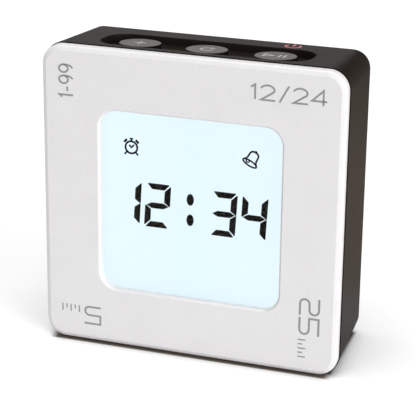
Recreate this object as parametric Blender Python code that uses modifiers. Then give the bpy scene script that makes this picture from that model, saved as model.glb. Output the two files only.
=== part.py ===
"""Square flip timer: a pale front plate with a display, on a dark tapered housing.

The timer is drawn on its own axes: X to the right, Y from the seam between plate and housing
towards the back, Z up, with the bottom edge of the seam at Z = 0. Those axes lean back by the
draft of the housing, so that its bottom face lies flat on the ground at world Z = 0.
"""
import math

import bmesh
import bpy
from mathutils import Matrix, Vector

MM = 0.001

# Driving dimensions
SIZE = 80.0 * MM                # width and height of the housing at the seam
BODY_DEPTH = 25.6 * MM          # housing, from the seam to the back
PLATE_DEPTH = 3.0 * MM          # front plate, from its face to the seam
DRAFT = math.radians(3.3)       # slope of each of the four sides towards the back
WALL = 1.8 * MM                 # housing wall
CORNER_RADIUS = 4.8 * MM        # corners of the housing, seen from the front
BACK_EDGE = 0.5 * MM            # rounding of the back edge
PLATE_INSET = 0.3 * MM          # how far the plate stays inside the housing's outline
PLATE_EDGE = 1.4 * MM           # rounding of the plate's front edge
GAP = 0.25 * MM                 # clearance between neighbouring pieces
SCREW_FIT = 0.15 * MM           # clearance round a screw's shank
HEAD_FIT = 0.4 * MM             # clearance round a case screw's head

PLATE_BORDER = 15.5 * MM        # from the housing's side at the seam to the square window
WINDOW_RADIUS = 4.7 * MM
LIP_WALL = 1.2 * MM             # rim behind the plate that enters the housing
LIP_DEPTH = 2.5 * MM

LENS_LAP = 2.0 * MM             # clear pane behind the window, beyond it on each side
LENS_THICK = 0.8 * MM
GLASS_LAP = 1.5 * MM            # display glass beyond the window on each side
GLASS_THICK = 1.1 * MM
GLASS_LEDGE = 3.0 * MM          # lower strip of the front glass that carries the contacts
DIFFUSER_THICK = 0.3 * MM
GUIDE_THICK = 2.0 * MM
REFLECTOR_THICK = 0.2 * MM
LAMP = (1.0 * MM, 2.2 * MM, 4.0 * MM)       # beside the light guide: X, Y and Z
HOLDER_WALL = 2.1 * MM
HOLDER_CAP = 1.1 * MM           # top and bottom wall of the display holder
STRIP_HEIGHT = 2.0 * MM         # rubber contact strip

BOARD_THICK = 1.2 * MM
BOARD_BOTTOM = 10.0 * MM        # main board above the bottom of the seam
BOARD_HIGH = 13.4 * MM          # main board below the top of the seam
BOARD_SCREW_INSET = (2.3 * MM, 3.6 * MM)    # from the board's side and end edges
POST_RADIUS = 2.1 * MM

CASE_SCREW_INSET = 6.6 * MM     # case screws, from the housing's sides at the seam
CASE_POST_RADIUS = 2.4 * MM
CASE_POST_END = 5.0 * MM
CASE_BOSS_RADIUS = 3.0 * MM
CASE_SEAT = 4.0 * MM            # plastic under the head of a case screw
SCREW_RADIUS = 1.0 * MM
SCREW_HEAD_RADIUS = 1.9 * MM
SCREW_HEAD = 1.2 * MM
SMALL_SCREW_RADIUS = 0.8 * MM
SMALL_HEAD_RADIUS = 1.6 * MM
SMALL_HEAD = 1.0 * MM
SCREW_GRIP = 4.0 * MM           # length of a screw in its post

TRAY_END = 4.45 * MM            # sunk tray on the top side, beyond the outer buttons
TRAY_SIDE = 2.55 * MM           # and in front of and behind them
TRAY_RADIUS = 6.2 * MM
TRAY_DEPTH = 2.3 * MM
TRAY_FLOOR = 1.5 * MM
TRAY_WALL = 1.5 * MM
TRAY_Y = 10.1 * MM              # middle of the tray, from the seam
BUTTON_PITCH = 18.0 * MM
BUTTON_RADIUS = 5.25 * MM
BUTTON_SINK = 0.5 * MM          # cap below the top side
BUTTON_EDGE = 0.25 * MM
BUTTON_FLANGE = 0.8 * MM        # flange wider than the cap
FLANGE_THICK = 1.0 * MM
BUTTON_TRAVEL = 0.6 * MM

SWITCH_SIZE = 6.0 * MM          # tact switch under each button
SWITCH_HEIGHT = 3.0 * MM
PLUNGER_RADIUS = 1.7 * MM
PLUNGER_LENGTH = 2.7 * MM
KEY_BOARD_EDGE = (4.0 * MM, 1.9 * MM)       # beyond the switches in X and Y
KEY_BOSS_RADIUS = 2.0 * MM
RIBBON_WIDTH = 8.0 * MM
RIBBON_THICK = 0.3 * MM
RIBBON_REACH = 3.0 * MM         # part of the ribbon that lies under the key board

CELL_RADIUS = 5.25 * MM         # AAA cell
CELL_LENGTH = 44.5 * MM
CELL_NUB = (1.9 * MM, 1.0 * MM)
CELL_PITCH = 11.2 * MM
BAY_RISE = 4.0 * MM             # middle of the battery bay above the timer's middle
BAY_DEPTH = 13.0 * MM           # from the back to the floor of the bay
BAY_WALL = 2.8 * MM
BAY_FLOOR = 1.4 * MM
BAY_LEDGE = 1.6 * MM            # step that the door rests on
CELL_PLAY = 0.35 * MM
CELL_EDGE = 0.4 * MM
CONTACT_THICK = 0.4 * MM
CONTACT_SIZE = (9.0 * MM, 8.0 * MM)
CONTACT_TAIL = 3.0 * MM
SPRING_LENGTH = 4.2 * MM
SPRING_TURNS = 4
SPRING_BASE = 3.4 * MM
SPRING_TIP = 1.6 * MM
SPRING_WIRE = 0.25 * MM         # wire radius

DOOR_THICK = 1.6 * MM
DOOR_CORNER = 1.0 * MM
FOOT_X = 16.0 * MM
FOOT_WIDTH = 5.4 * MM
FOOT_THICK = 1.0 * MM
FOOT_REACH = 1.5 * MM           # foot under the back wall
FOOT_RISE = 2.2 * MM
FOOT_LIFT = 0.3 * MM            # foot's underside above the pivot
CATCH_WIDTH = 6.0 * MM
CATCH_THICK = 1.0 * MM
CATCH_REACH = 2.0 * MM
NOTCH = (12.0 * MM, 3.0 * MM, 0.7 * MM)     # finger notch: width, height and depth
NOTCH_INSET = 2.0 * MM          # below the door's top edge

KNOB_X = 19.0 * MM              # power knob on the back, middle of its slot
KNOB_RISE = 26.0 * MM           # above the timer's middle
KNOB = (5.4 * MM, 3.6 * MM)
KNOB_GROOVE = 0.5 * MM
SLOT_CORNER = 0.6 * MM
KNOB_TRAVEL = 3.0 * MM
KNOB_SINK = 0.3 * MM
COVER_LAP = (1.3 * MM, 0.9 * MM)            # knob's base beyond its slot in X and Z
COVER_THICK = 1.6 * MM
LEVER = (2.0 * MM, 1.0 * MM)    # width, and reach into the knob
SLIDER = (4.6 * MM, 1.6 * MM, 3.0 * MM)
SWITCH_WALL = 1.0 * MM
SWITCH_DEPTH = 4.5 * MM
RIB_THICK = 1.2 * MM

BUZZER_RADIUS = 6.5 * MM
BUZZER_HEIGHT = 6.0 * MM
BUZZER_MOUTH = 1.2 * MM
PARTS_DROP = 20.4 * MM          # the row of parts on the board, below the timer's middle
SOUND_HOLE = 0.6 * MM
SOUND_RING = 2.6 * MM
CHIP = (10.0 * MM, 1.5 * MM)    # width and thickness
CHIP_EDGE = 0.4 * MM
SENSOR = (3.2 * MM, 1.0 * MM)
CRYSTAL = (1.0 * MM, 6.0 * MM)  # radius and length
CAPACITOR = (2.5 * MM, 5.5 * MM)
CAPACITOR_EDGE = 0.4 * MM
PARTS_SPACE = 3.0 * MM          # between the parts on the board

# Places along Y that follow from the stack behind the window
PLATE_BACK = -GAP
LENS_Y = PLATE_BACK + GAP
FRONT_GLASS_Y = LENS_Y + LENS_THICK + GAP
REAR_GLASS_Y = FRONT_GLASS_Y + GLASS_THICK + GAP
DIFFUSER_Y = REAR_GLASS_Y + GLASS_THICK + GAP
GUIDE_Y = DIFFUSER_Y + DIFFUSER_THICK + GAP
REFLECTOR_Y = GUIDE_Y + GUIDE_THICK + GAP
BOARD_Y = REFLECTOR_Y + REFLECTOR_THICK + GAP
BOARD_BACK = BOARD_Y + BOARD_THICK
PARTS_Y = BOARD_BACK + GAP
MIDDLE = SIZE / 2
WINDOW = SIZE - 2 * PLATE_BORDER
LENS_WIDTH = WINDOW + 2 * LENS_LAP
GLASS_WIDTH = WINDOW + 2 * GLASS_LAP
GLASS_BOTTOM = MIDDLE - GLASS_WIDTH / 2
GLASS_TOP = MIDDLE + GLASS_WIDTH / 2
GUIDE_WIDTH = GLASS_WIDTH - 2 * (LAMP[0] + GAP)
HOLDER_HALF = GLASS_WIDTH / 2 + GAP + HOLDER_WALL
BOARD_SCREW_X = HOLDER_HALF + GAP + POST_RADIUS
BOARD_WIDTH = 2 * (BOARD_SCREW_X + BOARD_SCREW_INSET[0])
BOARD_TOP = SIZE - BOARD_HIGH
BUZZER_X = SMALL_HEAD_RADIUS + PARTS_SPACE + BUZZER_RADIUS - BOARD_SCREW_X
CASE_SCREW = MIDDLE - CASE_SCREW_INSET
PARTS_Z = MIDDLE - PARTS_DROP
KNOB_Z = MIDDLE + KNOB_RISE

# Battery bay
BAY_Z = MIDDLE + BAY_RISE
BAY_FLOOR_Y = BODY_DEPTH - BAY_DEPTH
BAY_HALF_X = (CELL_LENGTH + SPRING_LENGTH + 2 * CONTACT_THICK + 5 * GAP) / 2
BAY_HALF_Z = CELL_PITCH / 2 + CELL_RADIUS + CELL_PLAY
CELL_Y = BAY_FLOOR_Y + GAP + CELL_RADIUS
DOOR_HALF_X = BAY_HALF_X + BAY_LEDGE - GAP
DOOR_BOTTOM = BAY_Z - BAY_HALF_Z - BAY_LEDGE + GAP
DOOR_HEIGHT = 2 * (BAY_HALF_Z + BAY_LEDGE - GAP)

# Power switch on the back
KNOB_COVER = (KNOB[0] + 2 * (KNOB_TRAVEL + COVER_LAP[0]), KNOB[1] + 2 * COVER_LAP[1])
SWITCH_CASE = (SLIDER[0] + KNOB_TRAVEL + 2 * (GAP + SWITCH_WALL),
               SLIDER[2] + 2 * (GAP + SWITCH_WALL))
COVER_BACK = BODY_DEPTH - WALL - GAP
COVER_FRONT = COVER_BACK - COVER_THICK
SWITCH_BACK = COVER_FRONT - GAP
SWITCH_FRONT = SWITCH_BACK - SWITCH_DEPTH

# Keys, measured down from the top side
TRAY_LENGTH = 2 * (BUTTON_PITCH + BUTTON_RADIUS + TRAY_END)
TRAY_WIDTH = 2 * (BUTTON_RADIUS + TRAY_SIDE)
KEY_SCREW_X = BUTTON_PITCH / 2
KEY_BOARD = (2 * (BUTTON_PITCH + KEY_BOARD_EDGE[0]) + SWITCH_SIZE,
             2 * KEY_BOARD_EDGE[1] + SWITCH_SIZE)
TRAY_UNDER = TRAY_DEPTH + TRAY_FLOOR
FLANGE_TOP = TRAY_UNDER + GAP
FLANGE_UNDER = FLANGE_TOP + FLANGE_THICK
PLUNGER_TOP = FLANGE_UNDER + GAP
SWITCH_TOP = PLUNGER_TOP + BUTTON_TRAVEL + GAP
SWITCH_UNDER = SWITCH_TOP + SWITCH_HEIGHT
KEY_BOARD_TOP = SWITCH_UNDER + GAP
KEY_BOARD_UNDER = KEY_BOARD_TOP + BOARD_THICK
CUT = 1.0 * MM                  # how far a cutter runs past the face it opens

COLOURS = {
    "white_plastic": ((0.79, 0.78, 0.79), 0.35, 0.0),
    "dark_plastic": ((0.055, 0.052, 0.048), 0.5, 0.0),
    "grey_plastic": ((0.19, 0.19, 0.185), 0.45, 0.0),
    "milky_plastic": ((0.75, 0.8, 0.82), 0.4, 0.0),
    "glass": ((0.78, 0.95, 1.0), 0.1, 0.0),
    "board": ((0.03, 0.16, 0.06), 0.45, 0.0),
    "black_epoxy": ((0.012, 0.012, 0.012), 0.35, 0.0),
    "rubber": ((0.16, 0.12, 0.14), 0.7, 0.0),
    "steel": ((0.56, 0.56, 0.55), 0.3, 1.0),
    "cell_wrap": ((0.03, 0.05, 0.07), 0.35, 0.0),
}


def clear_scene():
    for ob in list(bpy.data.objects):
        bpy.data.objects.remove(ob)


def new_collection(name):
    found = bpy.data.collections.get(name)
    if found is None:
        found = bpy.data.collections.new(name)
    if found.name not in bpy.context.scene.collection.children:
        bpy.context.scene.collection.children.link(found)
    return found


def new_material(name):
    colour, roughness, metallic = COLOURS[name]
    mat = bpy.data.materials.new(name)
    mat.use_nodes = True
    shader = mat.node_tree.nodes["Principled BSDF"]
    shader.inputs["Base Color"].default_value = (*colour, 1.0)
    shader.inputs["Roughness"].default_value = roughness
    shader.inputs["Metallic"].default_value = metallic
    mat.diffuse_color = (*colour, 1.0)
    return mat


def empty(name, parent=None, location=(0, 0, 0), tilt=0.0):
    ob = bpy.data.objects.new(name, None)
    ob.parent = parent
    ob.location = location
    ob.rotation_euler.x = tilt
    parts.objects.link(ob)
    return ob


def mesh_object(name, bm, parent, location=(0, 0, 0), turn=(0, 0, 0)):
    """An object in no collection yet, with the mesh built in bm."""
    mesh = bpy.data.meshes.new(name)
    bmesh.ops.recalc_face_normals(bm, faces=bm.faces)
    bm.to_mesh(mesh)
    bm.free()
    ob = bpy.data.objects.new(name, mesh)
    ob.parent = parent
    ob.location = location
    ob.rotation_euler = turn
    return ob


def piece(ob, material, smooth=True):
    """Make an object one of the timer's pieces."""
    parts.objects.link(ob)
    ob.data.materials.append(materials[material])
    if smooth and ob.type == 'MESH':
        ob.data.shade_smooth()
        ob.data.set_sharp_from_angle(angle=math.radians(32))
    return ob


def tool(ob):
    """Make an object a cutter or an adder: it shapes a piece and isn't one itself."""
    cutters.objects.link(ob)
    ob.hide_render = True
    ob.display_type = 'WIRE'
    return ob


def boolean(ob, other, operation):
    mod = ob.modifiers.new(other.name, 'BOOLEAN')
    mod.object = other
    mod.operation = operation
    mod.solver = 'EXACT'
    return mod


def cut(ob, other):
    boolean(ob, tool(other), 'DIFFERENCE')


def join(ob, other):
    boolean(ob, tool(other), 'UNION')


def cube(bm, low, high):
    """Add a box between two corners."""
    low, high = Vector(low), Vector(high)
    place = Matrix.Translation((low + high) / 2) @ Matrix.Diagonal((*(high - low), 1.0))
    return bmesh.ops.create_cube(bm, size=1.0, matrix=place)["verts"]


def boxes(name, corners, parent, location=(0, 0, 0), edge=0.0):
    """One object from boxes that don't touch, each between a low and a high corner."""
    bm = bmesh.new()
    for low, high in corners:
        cube(bm, low, high)
    if edge:
        bmesh.ops.bevel(bm, geom=bm.edges[:], offset=edge, segments=1, affect='EDGES')
    return mesh_object(name, bm, parent, location)


def box(name, low, high, parent, location=(0, 0, 0), edge=0.0):
    return boxes(name, [(low, high)], parent, location, edge)


def block(name, half_x, half_z, y_from, y_to, radius, parent, centre=(0, 0), shrink=0.0,
          segments=6, front_edge=0.0, back_edge=0.0, edge_segments=4):
    """Rounded rectangle in XZ, run along Y, that narrows on all sides by shrink on the way."""
    bm = bmesh.new()
    cx, cz = centre
    cube(bm, (cx - half_x, y_from, cz - half_z), (cx + half_x, y_to, cz + half_z))
    for v in bm.verts:
        if v.co.y > (y_from + y_to) / 2:
            v.co.x -= math.copysign(shrink, v.co.x - cx)
            v.co.z -= math.copysign(shrink, v.co.z - cz)
    along = [e for e in bm.edges if abs(e.verts[0].co.y - e.verts[1].co.y) > (y_to - y_from) / 2]
    bmesh.ops.bevel(bm, geom=along, offset=radius, segments=segments, profile=0.5,
                    affect='EDGES')
    for where, offset in ((y_from, front_edge), (y_to, back_edge)):
        if offset:
            rim = [e for e in bm.edges if all(abs(v.co.y - where) < 1e-6 for v in e.verts)]
            bmesh.ops.bevel(bm, geom=rim, offset=offset, segments=edge_segments, profile=0.5,
                            affect='EDGES')
    return mesh_object(name, bm, parent)


def pad(name, half_x, half_y, z_from, z_to, radius, parent, segments=6):
    """Rounded rectangle in XY, run along Z."""
    bm = bmesh.new()
    cube(bm, (-half_x, -half_y, z_from), (half_x, half_y, z_to))
    along = [e for e in bm.edges if abs(e.verts[0].co.z - e.verts[1].co.z) > (z_to - z_from) / 2]
    bmesh.ops.bevel(bm, geom=along, offset=radius, segments=segments, profile=0.5,
                    affect='EDGES')
    return mesh_object(name, bm, parent)


def rods(name, runs, parent, axis='Y', location=(0, 0, 0), segments=24):
    """One object from round rods that don't touch: each (x, other, from, to, radius)."""
    bm = bmesh.new()
    for a, b, start, end, radius in runs:
        middle = (start + end) / 2
        if axis == 'Y':
            place = Matrix.Translation((a, middle, b)) @ Matrix.Rotation(math.pi / 2, 4, 'X')
        else:
            place = Matrix.Translation((a, b, middle))
        bmesh.ops.create_cone(bm, cap_ends=True, segments=segments, radius1=radius,
                              radius2=radius, depth=abs(end - start), matrix=place)
    return mesh_object(name, bm, parent, location)


def turned(name, profile, parent, location=(0, 0, 0), turn=(0, 0, 0), steps=24):
    """Turn a profile of (radius, z) points, given from top to bottom, about local Z."""
    mesh = bpy.data.meshes.new(name)
    points = [(r, 0.0, z) for r, z in profile]
    mesh.from_pydata(points, [(i, i + 1) for i in range(len(points) - 1)], [])
    ob = bpy.data.objects.new(name, mesh)
    ob.parent = parent
    ob.location = location
    ob.rotation_euler = turn
    mod = ob.modifiers.new("turn", 'SCREW')
    mod.steps = steps
    mod.render_steps = steps
    mod.use_merge_vertices = True
    mod.merge_threshold = 1e-6
    mod.use_smooth_shade = True
    return ob


def outline(name, points, width, parent, location=(0, 0, 0)):
    """Flat outline in the YZ plane, given as (y, z) points, with its width along X."""
    curve = bpy.data.curves.new(name, 'CURVE')
    curve.dimensions = '2D'
    curve.fill_mode = 'BOTH'
    curve.extrude = width / 2
    spline = curve.splines.new('POLY')
    spline.points.add(len(points) - 1)
    for point, (y, z) in zip(spline.points, points):
        point.co = (y, z, 0.0, 1.0)
    spline.use_cyclic_u = True
    flat = bpy.data.objects.new(name + "_outline", curve)
    bpy.context.scene.collection.objects.link(flat)
    bpy.context.view_layer.update()
    mesh = bpy.data.meshes.new_from_object(flat.evaluated_get(
        bpy.context.evaluated_depsgraph_get()))
    bpy.data.objects.remove(flat)
    bm = bmesh.new()
    bm.from_mesh(mesh)
    bmesh.ops.remove_doubles(bm, verts=bm.verts, dist=1e-6)
    # The curve's X, Y and Z become the timer's Y, Z and X
    bm.transform(Matrix(((0, 0, 1, 0), (1, 0, 0, 0), (0, 1, 0, 0), (0, 0, 0, 1))))
    return mesh_object(name, bm, parent, location)


def mirror_places(x, z):
    return [(sx * x, MIDDLE + sz * z) for sz in (-1, 1) for sx in (-1, 1)]


def front_bezel():
    half = MIDDLE - PLATE_INSET
    ob = block("front_bezel", half, half, -PLATE_DEPTH, PLATE_BACK,
               CORNER_RADIUS - PLATE_INSET, timer, (0, MIDDLE), segments=8,
               front_edge=PLATE_EDGE, edge_segments=5)
    lip = MIDDLE - WALL - GAP - LIP_DEPTH * math.tan(DRAFT)
    inner = lip - LIP_WALL
    rim = block("plate_lip", lip, lip, PLATE_BACK - CUT, LIP_DEPTH, CORNER_RADIUS - WALL,
                timer, (0, MIDDLE), segments=4)
    cut(rim, block("plate_lip_inside", inner, inner, PLATE_BACK - 2 * CUT, LIP_DEPTH + CUT,
                   CORNER_RADIUS - WALL - LIP_WALL, timer, (0, MIDDLE), segments=4))
    # The lip is open along the top, where the tray of the buttons comes down behind it
    opening = TRAY_LENGTH / 2 + TRAY_WALL + GAP
    cut(rim, box("plate_lip_opening", (-opening, PLATE_BACK, MIDDLE),
                 (opening, LIP_DEPTH + CUT, SIZE), timer))
    join(ob, rim)
    posts = [(x, z, PLATE_BACK - CUT, CASE_POST_END, CASE_POST_RADIUS)
             for x, z in mirror_places(CASE_SCREW, CASE_SCREW)]
    posts += [(x, z, PLATE_BACK - CUT, BOARD_Y - GAP, POST_RADIUS) for x, z in board_screws()]
    join(ob, rods("plate_posts", posts, timer, segments=20))
    holes = [(x, z, CASE_POST_END - SCREW_GRIP - GAP, CASE_POST_END + CUT,
              SCREW_RADIUS + SCREW_FIT) for x, z in mirror_places(CASE_SCREW, CASE_SCREW)]
    holes += [(x, z, BOARD_Y - GAP - SCREW_GRIP - GAP, BOARD_Y + CUT,
               SMALL_SCREW_RADIUS + SCREW_FIT) for x, z in board_screws()]
    cut(ob, rods("plate_post_holes", holes, timer, segments=16))
    cut(ob, block("window_hole", WINDOW / 2, WINDOW / 2, -PLATE_DEPTH - CUT, PLATE_BACK + CUT,
                  WINDOW_RADIUS, timer, (0, MIDDLE), segments=8))
    piece(ob, "white_plastic")


def board_screws():
    end = BOARD_SCREW_INSET[1]
    return [(s * BOARD_SCREW_X, z) for z in (BOARD_BOTTOM + end, BOARD_TOP - end)
            for s in (-1, 1)]


def rear_housing():
    shrink = BODY_DEPTH * math.tan(DRAFT)
    ob = block("rear_housing", MIDDLE, MIDDLE, 0, BODY_DEPTH, CORNER_RADIUS, timer,
               (0, MIDDLE), shrink, segments=8, back_edge=BACK_EDGE, edge_segments=2)
    deep = BODY_DEPTH - WALL
    past = CUT * math.tan(DRAFT)
    inside = MIDDLE - WALL + past
    cut(ob, block("inside", inside, inside, -CUT, deep, CORNER_RADIUS - WALL, timer,
                  (0, MIDDLE), deep * math.tan(DRAFT) + past, segments=4))
    # Tray of the buttons: a tub under the top side, sunk from above
    join(ob, pad("tray_tub", TRAY_LENGTH / 2 + TRAY_WALL, TRAY_WIDTH / 2 + TRAY_WALL,
                 -TRAY_UNDER, -WALL / 2, TRAY_RADIUS + TRAY_WALL, top_side))
    join(ob, rods("key_bosses", [(s * KEY_SCREW_X, 0, -KEY_BOARD_TOP + GAP,
                                  -TRAY_UNDER + TRAY_FLOOR / 2, KEY_BOSS_RADIUS)
                                 for s in (-1, 1)], top_side, 'Z', segments=20))
    cut(ob, pad("tray_hollow", TRAY_LENGTH / 2, TRAY_WIDTH / 2, -TRAY_DEPTH, CUT,
                TRAY_RADIUS, top_side, segments=8))
    cut(ob, rods("button_holes", [(s * BUTTON_PITCH, 0, -TRAY_UNDER - CUT, -TRAY_DEPTH + CUT,
                                   BUTTON_RADIUS + GAP) for s in (-1, 0, 1)],
                 top_side, 'Z', segments=32))
    cut(ob, rods("key_boss_holes", [(s * KEY_SCREW_X, 0, -KEY_BOARD_TOP - CUT,
                                     -KEY_BOARD_TOP + SCREW_GRIP + 2 * GAP,
                                     SMALL_SCREW_RADIUS + SCREW_FIT) for s in (-1, 1)],
                 top_side, 'Z', segments=16))
    # Battery bay: a solid block behind the back wall, hollowed from outside
    wall = BODY_DEPTH - WALL / 2
    join(ob, box("bay_block", (-BAY_HALF_X - BAY_WALL, BAY_FLOOR_Y - BAY_FLOOR,
                               BAY_Z - BAY_HALF_Z - BAY_WALL),
                 (BAY_HALF_X + BAY_WALL, wall, BAY_Z + BAY_HALF_Z + BAY_WALL), timer))
    # Bosses of the case screws, and the two ribs that hold the power switch
    bosses = [(x, z, CASE_POST_END + GAP, wall, CASE_BOSS_RADIUS)
              for x, z in mirror_places(CASE_SCREW, CASE_SCREW)]
    join(ob, rods("case_bosses", bosses, timer, segments=24))
    rib = SWITCH_CASE[1] / 2 + GAP
    join(ob, boxes("switch_ribs", [
        ((KNOB_X - SWITCH_CASE[0] / 2, SWITCH_FRONT,
          KNOB_Z + min(s * rib, s * (rib + RIB_THICK))),
         (KNOB_X + SWITCH_CASE[0] / 2, wall, KNOB_Z + max(s * rib, s * (rib + RIB_THICK))))
        for s in (-1, 1)], timer))
    cut(ob, box("bay_hollow", (-BAY_HALF_X, BAY_FLOOR_Y, BAY_Z - BAY_HALF_Z),
                (BAY_HALF_X, BODY_DEPTH + CUT, BAY_Z + BAY_HALF_Z), timer))
    ledge = BAY_LEDGE
    cut(ob, block("door_seat", BAY_HALF_X + ledge, BAY_HALF_Z + ledge,
                  BODY_DEPTH - DOOR_THICK - GAP, BODY_DEPTH + CUT, DOOR_CORNER + GAP, timer,
                  (0, BAY_Z), segments=3))
    slot = FOOT_WIDTH / 2 + GAP
    sweep = math.hypot(WALL + GAP + FOOT_THICK, FOOT_RISE) + GAP
    cut(ob, boxes("foot_slots", [
        ((s * FOOT_X - slot, BODY_DEPTH - sweep, DOOR_BOTTOM - FOOT_REACH - GAP),
         (s * FOOT_X + slot, BODY_DEPTH - WALL, DOOR_BOTTOM + sweep)) for s in (-1, 1)], timer))
    cut(ob, boxes("contact_slots", [
        ((x - GAP, BAY_FLOOR_Y - BAY_FLOOR - CUT, z - CONTACT_TAIL / 2 - GAP),
         (x + CONTACT_THICK + GAP, BAY_FLOOR_Y + CUT, z + CONTACT_TAIL / 2 + GAP))
        for x, z in contact_tails()], timer))
    holes = [(x, z, CASE_POST_END, BODY_DEPTH, SCREW_RADIUS + 2 * SCREW_FIT)
             for x, z in mirror_places(CASE_SCREW, CASE_SCREW)]
    cut(ob, rods("case_screw_holes", holes, timer, segments=16))
    deep_holes = [(x, z, CASE_POST_END + GAP + CASE_SEAT, BODY_DEPTH + CUT,
                   SCREW_HEAD_RADIUS + HEAD_FIT)
                  for x, z in mirror_places(CASE_SCREW, CASE_SCREW)]
    cut(ob, rods("case_head_holes", deep_holes, timer, segments=20))
    long_slot = (KNOB[0] + KNOB_TRAVEL) / 2 + GAP
    tall_slot = KNOB[1] / 2 + GAP
    cut(ob, block("knob_slot", long_slot, tall_slot, BODY_DEPTH - WALL - CUT,
                  BODY_DEPTH + CUT, SLOT_CORNER, timer, (KNOB_X, KNOB_Z), segments=3))
    sound = [(BUZZER_X, PARTS_Z, BODY_DEPTH - WALL - CUT, BODY_DEPTH + CUT, SOUND_HOLE)]
    sound += [(BUZZER_X + SOUND_RING * math.cos(k * math.pi / 3),
               PARTS_Z + SOUND_RING * math.sin(k * math.pi / 3),
               BODY_DEPTH - WALL - CUT, BODY_DEPTH + CUT, SOUND_HOLE) for k in range(6)]
    cut(ob, rods("sound_holes", sound, timer, segments=10))
    piece(ob, "dark_plastic")


def display():
    def sheet(name, half, y, thick, material, z_low=None, z_high=None, radius=0.0):
        low = MIDDLE - half if z_low is None else z_low
        high = MIDDLE + half if z_high is None else z_high
        if radius:
            ob = block(name, half, (high - low) / 2, y, y + thick, radius, timer,
                       (0, (low + high) / 2), segments=5)
        else:
            ob = box(name, (-half, y, low), (half, y + thick, high), timer)
        piece(ob, material)

    half = GLASS_WIDTH / 2
    inner = GUIDE_WIDTH / 2
    ledge = GLASS_BOTTOM - GLASS_LEDGE
    sheet("display_window", LENS_WIDTH / 2, LENS_Y, LENS_THICK, "glass", radius=WINDOW_RADIUS)
    sheet("lcd_front_glass", half, FRONT_GLASS_Y, GLASS_THICK, "glass", z_low=ledge)
    sheet("lcd_rear_glass", half, REAR_GLASS_Y, GLASS_THICK, "glass")
    sheet("diffuser_sheet", inner, DIFFUSER_Y, DIFFUSER_THICK, "milky_plastic")
    sheet("light_guide", inner, GUIDE_Y, GUIDE_THICK, "milky_plastic")
    sheet("reflector_sheet", inner, REFLECTOR_Y, REFLECTOR_THICK, "white_plastic")
    for side, s in (("left", -1), ("right", 1)):
        x = sorted((s * (inner + GAP), s * (inner + GAP + LAMP[0])))
        piece(box("backlight_led_" + side, (x[0], BOARD_Y - GAP - LAMP[1], MIDDLE - LAMP[2] / 2),
                  (x[1], BOARD_Y - GAP, MIDDLE + LAMP[2] / 2), timer), "white_plastic")
    # Frame round the glass, between the clear pane and the main board
    low, high = ledge - GAP, GLASS_TOP + GAP
    ob = box("lcd_holder", (-HOLDER_HALF, FRONT_GLASS_Y, low - HOLDER_CAP),
             (HOLDER_HALF, BOARD_Y - GAP, high + HOLDER_CAP), timer)
    cut(ob, box("holder_inside", (-half - GAP, FRONT_GLASS_Y - CUT, low),
                (half + GAP, BOARD_Y, high), timer))
    piece(ob, "white_plastic")
    strip = ledge + GAP
    piece(box("zebra_strip", (-half + LAMP[0], REAR_GLASS_Y, strip),
              (half - LAMP[0], BOARD_Y - GAP, strip + STRIP_HEIGHT), timer), "rubber")


def main_board():
    ob = box("main_pcb", (-BOARD_WIDTH / 2, BOARD_Y, BOARD_BOTTOM),
             (BOARD_WIDTH / 2, BOARD_BACK, BOARD_TOP), timer)
    cut(ob, rods("board_holes", [(x, z, BOARD_Y - CUT, BOARD_BACK + CUT,
                                  SMALL_SCREW_RADIUS + 2 * SCREW_FIT)
                                 for x, z in board_screws()], timer, segments=16))
    piece(ob, "board")
    for k, (x, z) in enumerate(board_screws(), 1):
        screw("board_screw_%d" % k, SMALL_SCREW_RADIUS, SMALL_HEAD_RADIUS, SMALL_HEAD,
              SCREW_GRIP + BOARD_THICK + 2 * GAP, timer, (x, PARTS_Y, z), -math.pi / 2)
    chip = CHIP[0] / 2
    piece(box("control_chip", (-chip, 0, -chip), (chip, CHIP[1], chip), timer,
              (0, PARTS_Y, PARTS_Z), edge=CHIP_EDGE), "black_epoxy")
    sensor = SENSOR[0] / 2
    next_x = chip + PARTS_SPACE
    piece(box("orientation_sensor", (0, 0, -sensor), (SENSOR[0], SENSOR[1], sensor), timer,
              (next_x, PARTS_Y, PARTS_Z - sensor)), "black_epoxy")
    can, length = CRYSTAL
    piece(turned("timing_crystal", [(0, length), (can, length), (can, 0), (0, 0)], timer,
                 (next_x, PARTS_Y + can, PARTS_Z + sensor + can), (0, math.pi / 2, 0),
                 steps=12), "steel")
    round_can, tall = CAPACITOR
    piece(turned("capacitor", rounded_can(round_can, tall, CAPACITOR_EDGE), timer,
                 (next_x + length + PARTS_SPACE + round_can, PARTS_Y, PARTS_Z),
                 (-math.pi / 2, 0, 0), steps=20), "cell_wrap")
    inner = BUZZER_HEIGHT - BUZZER_MOUTH
    piece(turned("piezo_buzzer", [(0, inner), (BUZZER_MOUTH, inner),
                                  (BUZZER_MOUTH, BUZZER_HEIGHT),
                                  (BUZZER_RADIUS, BUZZER_HEIGHT), (BUZZER_RADIUS, 0),
                                  (0, 0)], timer,
                 (BUZZER_X, PARTS_Y, PARTS_Z), (-math.pi / 2, 0, 0), steps=32), "black_epoxy")


def rounded_can(radius, height, edge):
    """Profile of a can with a chamfer at both ends, from top to bottom."""
    return [(0, height), (radius - edge, height), (radius, height - edge), (radius, edge),
            (radius - edge, 0), (0, 0)]


def screw(name, radius, head_radius, head, length, parent, location, tilt):
    """Pan-head screw: local Z points out of the head, and Z = 0 is under the head."""
    profile = [(0, head), (head_radius * 0.6, head), (head_radius, head * 0.5),
               (head_radius, 0), (radius, 0), (radius, -length + radius), (0, -length)]
    piece(turned(name, profile, parent, location, (tilt, 0, 0), steps=16), "steel")


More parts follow.
